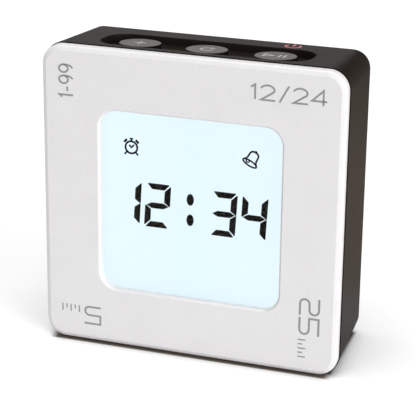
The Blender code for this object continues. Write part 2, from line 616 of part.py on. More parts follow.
def case_screws():
    seat = CASE_POST_END + GAP + CASE_SEAT + GAP
    for k, (x, z) in enumerate(mirror_places(CASE_SCREW, CASE_SCREW), 1):
        screw("case_screw_%d" % k, SCREW_RADIUS, SCREW_HEAD_RADIUS, SCREW_HEAD,
              seat - CASE_POST_END + SCREW_GRIP - GAP, timer, (x, seat, z), -math.pi / 2)


def keys():
    edge = BUTTON_EDGE
    flange = BUTTON_RADIUS + BUTTON_FLANGE
    half = SWITCH_SIZE / 2
    for side, s in (("left", -1), ("middle", 0), ("right", 1)):
        axis = empty("axis_" + side, top_side, (s * BUTTON_PITCH, 0, 0))
        piece(turned("button_" + side, [
            (0, -BUTTON_SINK), (BUTTON_RADIUS - edge, -BUTTON_SINK),
            (BUTTON_RADIUS, -BUTTON_SINK - edge), (BUTTON_RADIUS, -FLANGE_TOP),
            (flange, -FLANGE_TOP), (flange, -FLANGE_UNDER), (0, -FLANGE_UNDER)],
            axis, steps=40), "grey_plastic")
        piece(turned("tact_plunger_" + side, [
            (0, -PLUNGER_TOP), (PLUNGER_RADIUS, -PLUNGER_TOP),
            (PLUNGER_RADIUS, -PLUNGER_TOP - PLUNGER_LENGTH),
            (0, -PLUNGER_TOP - PLUNGER_LENGTH)], axis, steps=16), "black_epoxy")
        case = box("tact_switch_" + side, (-half, -half, -SWITCH_UNDER),
                   (half, half, -SWITCH_TOP), top_side, (s * BUTTON_PITCH, 0, 0))
        low = -PLUNGER_TOP - PLUNGER_LENGTH - BUTTON_TRAVEL - GAP
        cut(case, rods("plunger_bore_" + side, [(0, 0, low, -SWITCH_TOP + CUT,
                                                 PLUNGER_RADIUS + GAP)],
                       top_side, 'Z', (s * BUTTON_PITCH, 0, 0), segments=16))
        piece(case, "steel")
    wide, deep = KEY_BOARD[0] / 2, KEY_BOARD[1] / 2
    board = box("key_board", (-wide, -deep, -KEY_BOARD_UNDER), (wide, deep, -KEY_BOARD_TOP),
                top_side)
    cut(board, rods("key_board_holes", [(s * KEY_SCREW_X, 0, -KEY_BOARD_UNDER - CUT,
                                         -KEY_BOARD_TOP + CUT,
                                         SMALL_SCREW_RADIUS + 2 * SCREW_FIT) for s in (-1, 1)],
                    top_side, 'Z', segments=16))
    piece(board, "board")
    for side, s in (("left", -1), ("right", 1)):
        screw("key_screw_" + side, SMALL_SCREW_RADIUS, SMALL_HEAD_RADIUS, SMALL_HEAD,
              SCREW_GRIP + BOARD_THICK + GAP, top_side,
              (s * KEY_SCREW_X, 0, -KEY_BOARD_UNDER - GAP), math.pi)
    # Ribbon: flat on the back of the main board, above the battery bay, and bent under the keys
    under = top_height(PARTS_Y) - KEY_BOARD_UNDER / math.cos(DRAFT) - GAP
    foot = RIBBON_REACH
    drop = foot * math.tan(DRAFT)
    thick = RIBBON_THICK
    low = BAY_Z + BAY_HALF_Z + BAY_WALL + GAP
    piece(outline("key_ribbon", [
        (PARTS_Y, low), (PARTS_Y + thick, low),
        (PARTS_Y + thick, under - thick), (PARTS_Y + foot, under - thick - drop),
        (PARTS_Y + foot, under - drop), (PARTS_Y, under)], RIBBON_WIDTH, timer),
        "milky_plastic", smooth=False)


def top_height(y):
    """Height of the top side at depth y."""
    return SIZE - y * math.tan(DRAFT)


def power_switch():
    rest = KNOB_X + KNOB_TRAVEL / 2
    back = SWITCH_BACK
    half_x, half_z = SWITCH_CASE[0] / 2, SWITCH_CASE[1] / 2
    case = box("power_switch_case", (-half_x, SWITCH_FRONT, -half_z), (half_x, back, half_z),
               timer, (KNOB_X, 0, KNOB_Z))
    room_x = (SLIDER[0] + KNOB_TRAVEL) / 2 + GAP
    room_z = SLIDER[2] / 2 + GAP
    cut(case, box("slider_room", (-room_x, back - SLIDER[1] - 2 * GAP, -room_z),
                  (room_x, back + CUT, room_z), timer, (KNOB_X, 0, KNOB_Z)))
    piece(case, "steel")
    # The slider's lever reaches into the back of the knob, so both move as one
    slider = box("power_slider", (-SLIDER[0] / 2, back - GAP - SLIDER[1], -SLIDER[2] / 2),
                 (SLIDER[0] / 2, back - GAP, SLIDER[2] / 2), timer, (rest, 0, KNOB_Z))
    lever = LEVER[0] / 2
    join(slider, box("slider_lever", (-lever, back - GAP - CUT / 2, -lever),
                     (lever, COVER_FRONT + LEVER[1], lever), timer, (rest, 0, KNOB_Z)))
    piece(slider, "black_epoxy")
    knob = box("power_knob", (-KNOB_COVER[0] / 2, COVER_FRONT, -KNOB_COVER[1] / 2),
               (KNOB_COVER[0] / 2, COVER_BACK, KNOB_COVER[1] / 2), timer, (rest, 0, KNOB_Z))
    outer = BODY_DEPTH - KNOB_SINK
    join(knob, box("knob_grip", (-KNOB[0] / 2, COVER_BACK - CUT / 2, -KNOB[1] / 2),
                   (KNOB[0] / 2, outer, KNOB[1] / 2), timer, (rest, 0, KNOB_Z)))
    groove = KNOB_GROOVE
    cut(knob, boxes("knob_grooves", [
        ((k * 2 * groove - groove / 2, outer - groove, -KNOB[1]),
         (k * 2 * groove + groove / 2, outer + CUT, KNOB[1])) for k in (-2, -1, 0, 1, 2)],
        timer, (rest, 0, KNOB_Z)))
    pocket = lever + GAP
    cut(knob, box("lever_pocket", (-pocket, COVER_FRONT - CUT, -pocket),
                  (pocket, COVER_FRONT + LEVER[1] + GAP, pocket), timer, (rest, 0, KNOB_Z)))
    piece(knob, "grey_plastic")


def battery_door():
    """The door's own origin lies on its pivot, at the lower outer edge."""
    half = DOOR_HALF_X
    bm = bmesh.new()
    cube(bm, (-half, -DOOR_THICK, 0), (half, 0, DOOR_HEIGHT))
    along = [e for e in bm.edges if abs(e.verts[0].co.y - e.verts[1].co.y) > DOOR_THICK / 2]
    bmesh.ops.bevel(bm, geom=along, offset=DOOR_CORNER, segments=3, profile=0.5,
                    affect='EDGES')
    ob = mesh_object("battery_door", bm, timer, (0, BODY_DEPTH, DOOR_BOTTOM))
    tab = -WALL - GAP
    inner = tab - FOOT_THICK
    for side, s in (("left", -1), ("right", 1)):
        join(ob, outline("door_foot_" + side, [
            (-DOOR_THICK / 2, FOOT_LIFT), (-DOOR_THICK / 2, FOOT_RISE), (inner, FOOT_RISE),
            (inner, -FOOT_REACH), (tab, -FOOT_REACH), (tab, FOOT_LIFT)], FOOT_WIDTH, timer,
            (s * FOOT_X, BODY_DEPTH, DOOR_BOTTOM)))
    catch_top = DOOR_HEIGHT - BAY_LEDGE - GAP
    join(ob, box("door_catch", (-CATCH_WIDTH / 2, -DOOR_THICK - CATCH_REACH,
                                catch_top - CATCH_THICK),
                 (CATCH_WIDTH / 2, -DOOR_THICK / 2, catch_top), timer,
                 (0, BODY_DEPTH, DOOR_BOTTOM)))
    wide, tall, deep = NOTCH
    notch_top = DOOR_HEIGHT - NOTCH_INSET
    cut(ob, box("door_notch", (-wide / 2, -deep, notch_top - tall),
                (wide / 2, CUT, notch_top), timer, (0, BODY_DEPTH, DOOR_BOTTOM)))
    piece(ob, "dark_plastic")


def contact_tails():
    """Left edge and height of each contact plate: two on the right, one on the left."""
    right = BAY_HALF_X - GAP - CONTACT_THICK
    left = -BAY_HALF_X + GAP
    upper, lower = BAY_Z + CELL_PITCH / 2, BAY_Z - CELL_PITCH / 2
    return [(right, upper), (right, lower), (left, BAY_Z)]


def coil_spring(name, location, direction):
    """Conical spring along X from its plate (base) to the cell (tip)."""
    per_turn = 10
    count = SPRING_TURNS * per_turn + 1
    run = SPRING_LENGTH - 2 * SPRING_WIRE
    points = []
    for k in range(count):
        share = k / (count - 1)
        angle = 2 * math.pi * SPRING_TURNS * share
        radius = SPRING_BASE + (SPRING_TIP - SPRING_BASE) * share
        points.append(Vector((direction * (SPRING_WIRE + run * share),
                              radius * math.cos(angle), radius * math.sin(angle))))
    gap = min((points[a] - points[b]).length for a in range(count)
              for b in range(a + per_turn * 3 // 4, count)) - 2 * SPRING_WIRE
    print(name, "least gap between turns %.2f mm" % (gap / MM))
    curve = bpy.data.curves.new(name, 'CURVE')
    curve.dimensions = '3D'
    curve.bevel_depth = SPRING_WIRE
    curve.bevel_resolution = 1
    curve.use_fill_caps = True
    spline = curve.splines.new('POLY')
    spline.points.add(count - 1)
    for target, point in zip(spline.points, points):
        target.co = (*point, 1.0)
    ob = bpy.data.objects.new(name, curve)
    ob.parent = timer
    ob.location = location
    parts.objects.link(ob)
    curve.materials.append(materials["steel"])


def batteries():
    upper, lower = BAY_Z + CELL_PITCH / 2, BAY_Z - CELL_PITCH / 2
    nub_radius, nub = CELL_NUB
    body = CELL_LENGTH - nub
    edge = CELL_EDGE
    profile = [(0, CELL_LENGTH), (nub_radius, CELL_LENGTH), (nub_radius, body),
               (CELL_RADIUS - edge, body), (CELL_RADIUS, body - edge), (CELL_RADIUS, edge),
               (CELL_RADIUS - edge, 0), (0, 0)]
    tip = BAY_HALF_X - 2 * GAP - CONTACT_THICK
    flat = tip - CELL_LENGTH
    quarter = math.pi / 2
    piece(turned("battery_upper", profile, timer, (flat, CELL_Y, upper), (0, quarter, 0),
                 steps=28), "cell_wrap")
    piece(turned("battery_lower", profile, timer, (-flat, CELL_Y, lower), (0, -quarter, 0),
                 steps=28), "cell_wrap")
    coil_spring("contact_spring_upper", (-tip, CELL_Y, upper), 1)
    coil_spring("contact_spring_lower", (tip, CELL_Y, lower), -1)
    deep, tall = CONTACT_SIZE
    plates = zip(("contact_plate_positive", "contact_plate_negative", "contact_plate_bridge"),
                 contact_tails(), (tall, tall, tall + CELL_PITCH))
    for name, (x, z), height in plates:
        tail = CONTACT_TAIL / 2
        near, far = CELL_Y - deep / 2, CELL_Y + deep / 2
        piece(outline(name, [
            (PARTS_Y, z - tail), (near, z - tail), (near, z - height / 2),
            (far, z - height / 2), (far, z + height / 2), (near, z + height / 2),
            (near, z + tail), (PARTS_Y, z + tail)], CONTACT_THICK, timer,
            (x + CONTACT_THICK / 2, 0, 0)), "steel", smooth=False)


def place_timer():
    """Where the seam's bottom edge goes so that the box round the timer is centred in Y."""
    sine, cosine = math.sin(DRAFT), math.cos(DRAFT)
    front = ((-PLATE_DEPTH + PLATE_EDGE) * cosine + (PLATE_INSET + PLATE_EDGE) * sine
             - PLATE_EDGE)
    top = SIZE - BODY_DEPTH * math.tan(DRAFT) - BACK_EDGE
    back = BODY_DEPTH * cosine + top * sine
    return (0, -(front + back) / 2, 0)


clear_scene()
parts = new_collection("countdown_timer")
cutters = new_collection("cutters")
materials = {name: new_material(name) for name in COLOURS}
timer = empty("timer_axes", None, place_timer(), -DRAFT)
top_side = empty("top_axes", timer, (0, TRAY_Y, top_height(TRAY_Y)), -DRAFT)

front_bezel()
rear_housing()
display()
main_board()
case_screws()
keys()
power_switch()
battery_door()
batteries()
bpy.context.view_layer.update()
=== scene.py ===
# %% [markdown]
# # A countdown timer, dressed in Blender
#
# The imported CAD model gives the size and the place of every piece. This script makes the pieces
# that a person sees once more, as finer surfaces worked out with numpy, gives every piece a
# material made of nodes, and sets up a plain pale studio. Lengths are in millimetres.

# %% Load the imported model
import math

import bmesh
import bpy
import numpy as np
from mathutils import Matrix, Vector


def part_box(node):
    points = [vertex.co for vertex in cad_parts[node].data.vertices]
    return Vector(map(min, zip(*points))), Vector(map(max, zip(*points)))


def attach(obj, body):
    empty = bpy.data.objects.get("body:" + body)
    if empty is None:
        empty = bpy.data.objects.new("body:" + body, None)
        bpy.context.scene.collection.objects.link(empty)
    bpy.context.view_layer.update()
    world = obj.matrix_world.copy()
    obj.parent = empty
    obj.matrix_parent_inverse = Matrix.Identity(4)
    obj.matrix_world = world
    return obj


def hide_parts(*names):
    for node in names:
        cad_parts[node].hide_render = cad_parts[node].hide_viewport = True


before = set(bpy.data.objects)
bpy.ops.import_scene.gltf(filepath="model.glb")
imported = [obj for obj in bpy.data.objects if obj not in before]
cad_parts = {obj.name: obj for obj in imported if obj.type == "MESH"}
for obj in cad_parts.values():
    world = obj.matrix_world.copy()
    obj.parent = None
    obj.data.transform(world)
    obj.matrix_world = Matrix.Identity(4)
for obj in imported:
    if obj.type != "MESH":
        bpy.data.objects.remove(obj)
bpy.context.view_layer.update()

# %% [markdown]
# ## The timer's own axes
#
# All four sides of the dark housing slope inwards by the same draft, which is what lets a
# moulded box leave its tool. The timer stands on one of these sloping sides, so the whole thing
# leans back a little. It is easier to draw it on its own straight axes: X to the right, Y from
# the seam between plate and housing to the back, Z up. One turn then brings them into place.
# The top side slopes once more, so what is sunk into it is drawn on axes of its own. EYE is
# where the photograph was taken from, also on the timer's axes.

# %% Axes: the front, the top side, and a cell lying in its bay
MM = 0.001
SIZE = 80.0
MIDDLE = SIZE / 2
BODY_DEPTH = 25.6
DRAFT = math.radians(3.3)
TRAY_Y = 10.1
CELL_Y = 18.1
EYE = (130.0, -370.6, 180.0)
SEAM_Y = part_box("rear_housing")[0][1] / MM
LEAN = np.array([[1, 0, 0],
                 [0, math.cos(DRAFT), math.sin(DRAFT)],
                 [0, -math.sin(DRAFT), math.cos(DRAFT)]])


def from_timer(points):
    """The timer's axes, turned by the draft about X and moved back to the seam."""
    return points @ LEAN.T + (0, SEAM_Y, 0)


def from_front(points):
    """Across, up, and depth behind the seam."""
    return from_timer(points[..., [0, 2, 1]])


def from_above(points):
    """Across, back, and height above the top side, which slopes by the draft again."""
    return from_timer(points @ LEAN.T + (0, TRAY_Y, SIZE - TRAY_Y * math.tan(DRAFT)))


def from_left(points):
    """Depth, up, and across: for round things that lie along X."""
    return from_timer(points[..., [2, 0, 1]])


print("seam at y = %.3f mm" % SEAM_Y)

# %% [markdown]
# ## Surfaces from profiles
#
# Almost everything on this timer is a rounded rectangle or a circle that changes size along a
# line: the plate, the housing, the door, the buttons and every pocket. One function therefore
# makes rings from a profile, and one more joins neighbouring rings to a closed skin. A profile
# is drawn with sharp corners first and then softened, as a toolmaker breaks an edge.

# %% Rings, skins and soft corners
CORNER_SHARE = 0.6


def unit(vector):
    """A vector divided by its length."""
    return vector / np.linalg.norm(vector)


def soften(corners, steps=5):
    """Round the corners of an open path of (x, y, radius). In a corner of angle 2t, the arc
    starts radius / tan(t) from the corner, and its centre lies radius / sin(t) inside."""
    path = np.array([corner[:2] for corner in corners], float)
    points = [path[:1]]
    for before, corner, after, (_, _, radius) in zip(path, path[1:], path[2:], corners[1:]):
        if not radius:
            points.append(corner[None])
            continue
        one, two = unit(before - corner), unit(after - corner)
        half = math.acos(np.dot(one, two)) / 2
        middle = corner + unit(one + two) * radius / math.sin(half)
        start = corner + one * radius / math.tan(half) - middle
        end = corner + two * radius / math.tan(half) - middle
        turn = math.pi - 2 * half
        share = np.linspace(0, 1, steps + 1)[:, None]
        points.append(middle + (np.sin((1 - share) * turn) * start
                                + np.sin(share * turn) * end) / math.sin(turn))
    points.append(path[-1:])
    return np.concatenate(points)


def rings(half_u, half_v, radius, path, centre=(0.0, 0.0), draft=0.0, steps=10):
    """Rounded rectangles along a path of (inset, depth). Each is smaller on all sides by its
    inset, and by depth * tan(draft), and its corner radius shrinks by the inset and by
    CORNER_SHARE of the draft. Its points are corner centre + radius * (cos a, sin a), with a
    from 0 to 90 degrees in each corner."""
    inset, depth = np.asarray(path, float).T[:, :, None]
    slope = depth * math.tan(draft)
    bend = np.maximum(radius - inset - CORNER_SHARE * slope, 0.0)
    reach_u, reach_v = half_u - inset - slope - bend, half_v - inset - slope - bend
    quarter = np.linspace(0, math.pi / 2, steps + 1)
    angle = np.concatenate([quarter + k * math.pi / 2 for k in range(4)])
    side_u = np.repeat([1, -1, -1, 1], steps + 1)
    side_v = np.repeat([1, 1, -1, -1], steps + 1)
    u = centre[0] + side_u * reach_u + bend * np.cos(angle)
    v = centre[1] + side_v * reach_v + bend * np.sin(angle)
    return np.stack([u, v, np.broadcast_to(depth, u.shape)], axis=-1)


def skin(rows, place, looped=False):
    """Points and faces of a closed surface. Point j of ring i is joined to its neighbours
    (i, j + 1) and (i + 1, j); the two ends get a flat face each, or are joined to each other."""
    count, around = rows.shape[:2]
    row = np.arange(count if looped else count - 1)[:, None] * around
    here = np.arange(around)[None]
    after = (here + 1) % around
    above = (row + around) % (count * around)
    quads = np.stack([row + here, row + after, above + after, above + here], axis=-1)
    caps = [] if looped else [np.arange(around), np.arange(around) + (count - 1) * around]
    return place(rows).reshape(-1, 3), quads.reshape(-1, 4), np.array(caps, int)


def rod(u, v, path, place=from_front, steps=8):
    """A turned form about (u, v). The path gives (radius, depth)."""
    path = np.asarray(path, float)
    widest = path[:, 0].max()
    path = np.column_stack([widest - path[:, 0], path[:, 1]])
    return skin(rings(widest, widest, widest, path, (u, v), steps=steps), place)


def pin(u, v, radius, low, high, place=from_front):
    """A plain round pin about (u, v), between two depths."""
    return rod(u, v, [(0, low), (radius, low), (radius, high), (0, high)], place)


def bar(low, high, place=from_front, edge=0.0, radius=0.0):
    """A box between two corners, with softened ends and corners."""
    low, high = np.array(low, float), np.array(high, float)
    half_u, half_v = (high - low)[:2] / 2
    inner = min(half_u, half_v) * 0.5
    path = soften([(inner, low[2], 0), (0, low[2], edge), (0, high[2], edge),
                   (inner, high[2], 0)], 3)
    return skin(rings(half_u, half_v, max(radius, edge), path, (low + high)[:2] / 2, steps=4),
                place)


def block(u, v, half_u, half_v, low, high, edge=0.0):
    """A bar centred on (u, v), given by half its sides and its two depths."""
    return bar((u - half_u, v - half_v, low), (u + half_u, v + half_v, high), edge=edge)


print("points on a ring:", rings(1.0, 1.0, 0.5, [(0, 0)]).shape[1])

# %% [markdown]
# ## From numbers to Blender objects
#
# The skins become one mesh: points that fall together are merged, which closes the poles, and
# then the faces are turned outwards. Pockets and holes are cut with exact Booleans, in the
# order in which the real part was designed. Smooth shading with weighted normals keeps the
# large flats flat right up to their rounded edges.

# %% Mesh, cut and finish
MERGE = 1e-7
SHARP = math.radians(35)


def solid(name, skins):
    """One object from closed skins."""
    points, faces, first = [], [], 0
    for skin_points, quads, caps in skins:
        points.append(skin_points)
        faces += (quads + first).tolist() + (caps + first).tolist()
        first += len(skin_points)
    mesh = bpy.data.meshes.new(name)
    mesh.from_pydata((np.concatenate(points) * MM).tolist(), [], faces)
    work = bmesh.new()
    work.from_mesh(mesh)
    bmesh.ops.remove_doubles(work, verts=work.verts, dist=MERGE)
    bmesh.ops.recalc_face_normals(work, faces=work.faces)
    work.to_mesh(mesh)
    work.free()
    made = bpy.data.objects.new(name, mesh)
    bpy.context.scene.collection.objects.link(made)
    return made


def shape(target, *steps):
    """Add or cut skins, one step after the other: each is 'add' or 'cut' and its skins."""
    for action, skins in steps:
        tool = solid("tool", skins)
        change = target.modifiers.new("change", 'BOOLEAN')
        change.object = tool
        change.operation = 'UNION' if action == "add" else 'DIFFERENCE'
        change.solver = 'EXACT'
        bpy.context.view_layer.update()
        seen = target.evaluated_get(bpy.context.evaluated_depsgraph_get())
        changed = bpy.data.meshes.new_from_object(seen)
        target.modifiers.clear()
        target.data = changed
        bpy.data.objects.remove(tool)


def finish(made, material, body, replaces=()):
    """Shade a piece, give it its material, and fix it to its body."""
    made.data.materials.clear()
    made.data.materials.append(material)
    made.data.shade_smooth()
    made.data.set_sharp_from_angle(angle=SHARP)
    weigh = made.modifiers.new("weigh", 'WEIGHTED_NORMAL')
    weigh.keep_sharp = True
    if replaces:
        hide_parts(*replaces)
    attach(made, body)
    print("%s: %d faces on %s" % (made.name, len(made.data.polygons), body))


print("points closer than %.4f mm become one" % (MERGE / MM))

# %% [markdown]
# ## Colours and nodes
#
# Colours are written as sRGB hex values, as a colour picker shows them, and turned to the
# linear values that the shaders count with. Small functions add nodes and link them. Noise
# seldom leaves the range given by NOISE, so that range is what gets stretched. A grain moves
# the roughness of a plain surface by SPREAD, up and down.

# %% Colour and node helpers
NOISE = (0.3, 0.7)
SPREAD = 0.06


def linear(colour):
    """Linear red, green, blue and alpha of an sRGB hex colour."""
    share = np.array([int(colour[i:i + 2], 16) for i in (1, 3, 5)]) / 255
    low, high = share / 12.92, ((share + 0.055) / 1.055) ** 2.4
    return (*np.where(share <= 0.04045, low, high), 1.0)


def wire(tree, target, sockets):
    """Give each named socket of a node its value, or the output that it is linked to."""
    for key, value in sockets.items():
        if isinstance(value, bpy.types.NodeSocket):
            tree.links.new(value, target.inputs[key])
        else:
            target.inputs[key].default_value = value


def node(tree, kind, sockets, **settings):
    """Add a node with its own settings, and wire its sockets."""
    made = tree.nodes.new("ShaderNode" + kind)
    for name, value in settings.items():
        setattr(made, name, value)
    wire(tree, made, sockets)
    return made


def new_material(name):
    """An empty material with its node tree, its main shader and its object coordinates."""
    made = bpy.data.materials.new(name)
    made.use_nodes = True
    tree = made.node_tree
    coords = node(tree, "TexCoord", {}).outputs["Object"]
    return made, tree, tree.nodes["Principled BSDF"], coords


def grain(tree, coords, size, detail=2.0, rough=0.5):
    """Noise whose lumps are about size millimetres across."""
    return node(tree, "TexNoise", {"Vector": coords, "Scale": 1 / (size * MM), "Detail": detail,
                                   "Roughness": rough}).outputs["Fac"]


def blend(tree, share, one, two):
    """A colour between two others, by a share from 0 to 1."""
    return node(tree, "Mix", {0: share, 6: one, 7: two}, data_type='RGBA').outputs[2]


def steer(tree, value, low, high, to_low=0.0, to_high=1.0):
    """Stretch a value from one range to another."""
    return node(tree, "MapRange", {"Value": value, "From Min": low, "From Max": high,
                                   "To Min": to_low, "To Max": to_high}).outputs["Result"]


def combine(tree, operation, *values):
    """Several values joined by the same sum, product or maximum."""
    share = values[0]
    for value in values[1:]:
        share = node(tree, "Math", {0: share, 1: value}, operation=operation).outputs[0]
    return share


def moulded(name, colour, second, rough, grain_mm, bump_mm, cloud_mm=9.0, metallic=0.0,
            gloss=0.5, ior=None):
    """A plain surface: two close colours in soft clouds, and a fine grain that moves the
    roughness and stands up by the bump's height. Without an IOR, the default one stays."""
    made, tree, shader, coords = new_material(name)
    cloud = grain(tree, coords, cloud_mm, 3.0)
    fine = grain(tree, coords, grain_mm, 3.0, 0.6)
    mixed = steer(tree, combine(tree, 'ADD', cloud, fine), 0.75, 1.25)
    bump = node(tree, "Bump", {"Height": fine, "Distance": bump_mm * MM})
    wire(tree, shader, {
        "Base Color": blend(tree, mixed, linear(colour), linear(second)),
        "Roughness": steer(tree, fine, *NOISE, rough - SPREAD, rough + SPREAD),
        "Normal": bump.outputs[0], "Metallic": metallic, "Specular IOR Level": gloss})
    if ior:
        wire(tree, shader, {"IOR": ior})
    return made


print("mid grey #808080 is %.3f in linear light" % linear("#808080")[0])

# %% [markdown]
# ## Finishes of the case
#
# The plate is injection-moulded white ABS from a polished tool: almost smooth, so that it has a
# soft shine on its sloping lip. The housing is dark brown-grey ABS from a tool with a fine
# spark-eroded texture, which leaves only a faint sheen. The keys are drawn near black and glossy
# at their sides, much darker than their satin grey tops. The real texture is finer than a pixel,
# so it is drawn a little coarser. Printing ink lies on all of them, flat and dull.

# %% Plastics
ABS_IOR = 1.53
white_abs = moulded("Polished white ABS", "#e8e6e7", "#e5e3e4", 0.3, 0.35, 0.0012, ior=ABS_IOR)
dark_abs = moulded("Spark-textured dark ABS", "#241f1b", "#201b18", 0.46, 0.22, 0.005,
                   gloss=0.022, ior=ABS_IOR)
key_grey = moulded("Satin grey ABS", "#5f5d5a", "#555452", 0.45, 0.18, 0.004, 1.2, gloss=0.1)
key_black = moulded("Polished black ABS", "#131211", "#161514", 0.16, 0.3, 0.001, gloss=0.1)
knob_grey = moulded("Satin grey acetal", "#767471", "#6d6b68", 0.38, 0.2, 0.003, 1.5)
pad_ink = moulded("Grey pad-printing ink", "#949293", "#8e8c8d", 0.55, 0.1, 0.001, 1.0)
key_ink = moulded("Pale pad-printing ink", "#b7b5b2", "#adaba8", 0.55, 0.1, 0.001, 1.0)
red_ink = moulded("Red pad-printing ink", "#dd6f80", "#d2606f", 0.5, 0.1, 0.001, 1.0)
print("case finishes:", white_abs.name + ",", dark_abs.name)

# %% [markdown]
# ## The front plate
#
# A square plate with well rounded corners, a shallow sloping lip all the way round, and a square
# window with rounded corners, chamfered towards the glass. It could be a box with bevels, but a
# single profile that runs round the plate, over its lip, across its face and into the window
# gives every curve in one go. The lip's clear start is what draws the bright line at the right
# and the darker one at the left. Behind its face the window widens a little, so that its edge
# stays thin. A rim and eight screw posts on the plate's back hold it in the housing. The rim
# has a gap at the top, for the button tray.

# %% Front plate
SIDES = (-1, 1)
AXIS = (0.0, MIDDLE)
PLATE_HALF, PLATE_CORNER = 39.75, 5.2
PLATE_FACE, PLATE_BACK = -3.0, -0.25
LIP_WIDTH, LIP_DEPTH = 1.3, 0.6
WINDOW_HALF, WINDOW_CORNER = 24.05, 4.7
CHAMFER, UNDERCUT = 0.55, 0.42
outside = rings(PLATE_HALF, PLATE_HALF, PLATE_CORNER, soften([
    (0, PLATE_BACK, 0), (0, PLATE_FACE + LIP_DEPTH, 1.0), (LIP_WIDTH, PLATE_FACE, 0.5),
    (2.2, PLATE_FACE, 0)], 10), AXIS, steps=16)
window = rings(WINDOW_HALF, WINDOW_HALF, WINDOW_CORNER, soften([
    (-1.3, PLATE_FACE, 0), (-CHAMFER, PLATE_FACE, 0.08), (0, PLATE_FACE + CHAMFER, 0.08),
    (-UNDERCUT, PLATE_BACK, 0)], 3), AXIS, steps=16)
plate = solid("front_plate", [skin(np.concatenate([outside, window]), from_front, True)])
print("front plate: %.1f mm square" % (2 * PLATE_HALF))

# %% Rim and screw posts of the plate
RIM_OUT, RIM_IN, RIM_GAP = 37.8, 36.6, 29.5
RIM_START, RIM_END = PLATE_BACK - 1.0, 2.5
CASE_SCREW = 33.4
CASE_SCREWS = [(s * CASE_SCREW, MIDDLE + t * CASE_SCREW) for s in SIDES for t in SIDES]
BOARD_SCREWS = [(s * 30.7, z) for s in SIDES for z in (13.6, 63.0)]


def post(x, z, radius, end):
    """A screw post that starts inside the plate and has a softened end."""
    return rod(x, z, soften([(0, -1.2, 0), (radius, -1.2, 0), (radius, end, 0.3), (0, end, 0)], 2))


rim = np.concatenate([
    rings(RIM_OUT, RIM_OUT, 3.0, [(0, RIM_START), (0, RIM_END)], AXIS, steps=6),
    rings(RIM_IN, RIM_IN, 1.8, [(0, RIM_END), (0, RIM_START)], AXIS, steps=6)])
posts = [post(x, z, 2.4, 5) for x, z in CASE_SCREWS]
posts += [post(x, z, 2.1, 6.75) for x, z in BOARD_SCREWS]
holes = [pin(x, z, 1.15, 0.75, 6) for x, z in CASE_SCREWS]
holes += [pin(x, z, 0.95, 2.5, 8) for x, z in BOARD_SCREWS]
shape(plate, ("add", [skin(rim, from_front, True)]),
      ("cut", [block(0, 75, RIM_GAP, 15, PLATE_BACK, 4)]),
      ("add", posts), ("cut", holes))
finish(plate, white_abs, "case", ["front_bezel"])

# %% [markdown]
# ## The housing
#
# A deep tapered box. The keys sit in a sunk tray with round ends on top, and the back has the
# battery bay, the slot of the power knob, the screw holes and the sound holes. Each pocket is a
# skin that flares at its mouth, so the cut leaves a softly broken edge, as a real tool does.
# The pockets are cut in the order hollow, tray, bay, because each needs the one before.

# %% Values of the housing
HOUSING_CORNER = 5.5
WALL = 1.8
BUTTON_PITCH, BUTTON_RADIUS = 18.0, 5.4
GAP = 0.25
TRAY_U, TRAY_V, TRAY_CORNER, TRAY_DEPTH = 27.7, 7.8, 6.2, 2.3
TUB_WALL = 1.5
BAY_Z = 44.0
UPPER_CELL_Z, LOWER_CELL_Z = 49.6, 38.4
BAY, BAY_FLOOR = (25.375, 11.2), 12.6
SEAT, SEAT_FLOOR = (26.975, 12.8), 23.75
DOOR_HALF_U, DOOR_HALF_V = SEAT[0] - GAP, SEAT[1] - GAP
DOOR_BOTTOM = BAY_Z - DOOR_HALF_V
FOOT_X, FOOT_HALF = 16.0, 2.7
KNOB = (19.0, 66.0)
SLOT_FLOOR = 22.8
BUZZER = (-19.6, 19.6)
HOLE_RING = 2.6
TAILS = ((24.725, UPPER_CELL_Z), (24.725, LOWER_CELL_Z), (-25.125, BAY_Z))


def pocket(half_u, half_v, radius, floor, edge, centre, foot=0.0):
    """A pocket in the back: straight walls up to a mouth that flares by its edge. The flare
    crosses the surface at a slant, because an exact cut dislikes faces that lie on it."""
    path = [(half_v * 0.5, floor, 0), (0, floor, foot), (0, BODY_DEPTH - edge, edge),
            (-edge - 1, BODY_DEPTH + 1, 0)]
    return skin(rings(half_u, half_v, radius, soften(path, 3), centre, steps=8), from_front)


def bore(x, z, radius, floor, edge):
    """A round hole in the back, with the same flared mouth."""
    path = soften([(0, floor, 0), (radius, floor, 0), (radius, BODY_DEPTH - edge, edge),
                   (radius + edge + 0.5, BODY_DEPTH + 0.5, 0), (0, BODY_DEPTH + 0.5, 0)], 3)
    return rod(x, z, path)


print("tray: %.1f by %.1f mm, %.1f mm deep" % (2 * TRAY_U, 2 * TRAY_V, TRAY_DEPTH))

# %% Housing, hollow and tray
outer = rings(MIDDLE, MIDDLE, HOUSING_CORNER, soften([
    (8, 0, 0), (0, 0, 0.12), (0, BODY_DEPTH, 0.5), (8, BODY_DEPTH, 0)], 5), AXIS, DRAFT, 16)
hollow = rings(MIDDLE - WALL, MIDDLE - WALL, 3.0,
               [(0, -1), (0, BODY_DEPTH - WALL)], AXIS, DRAFT, 8)
housing = solid("housing_shell", [skin(outer, from_front)])
tub = rings(TRAY_U + TUB_WALL, TRAY_V + TUB_WALL, TRAY_CORNER + TUB_WALL,
            [(0, -3.8), (0, -0.9)], steps=12)
bosses = [pin(s * BUTTON_PITCH / 2, 0, 2, -11.65, -3, from_above) for s in SIDES]
tray = rings(TRAY_U, TRAY_V, TRAY_CORNER, soften([
    (3, -TRAY_DEPTH, 0), (0, -TRAY_DEPTH, 0.4), (0, -0.15, 0.3), (-1.15, 1, 0)], 3), steps=14)
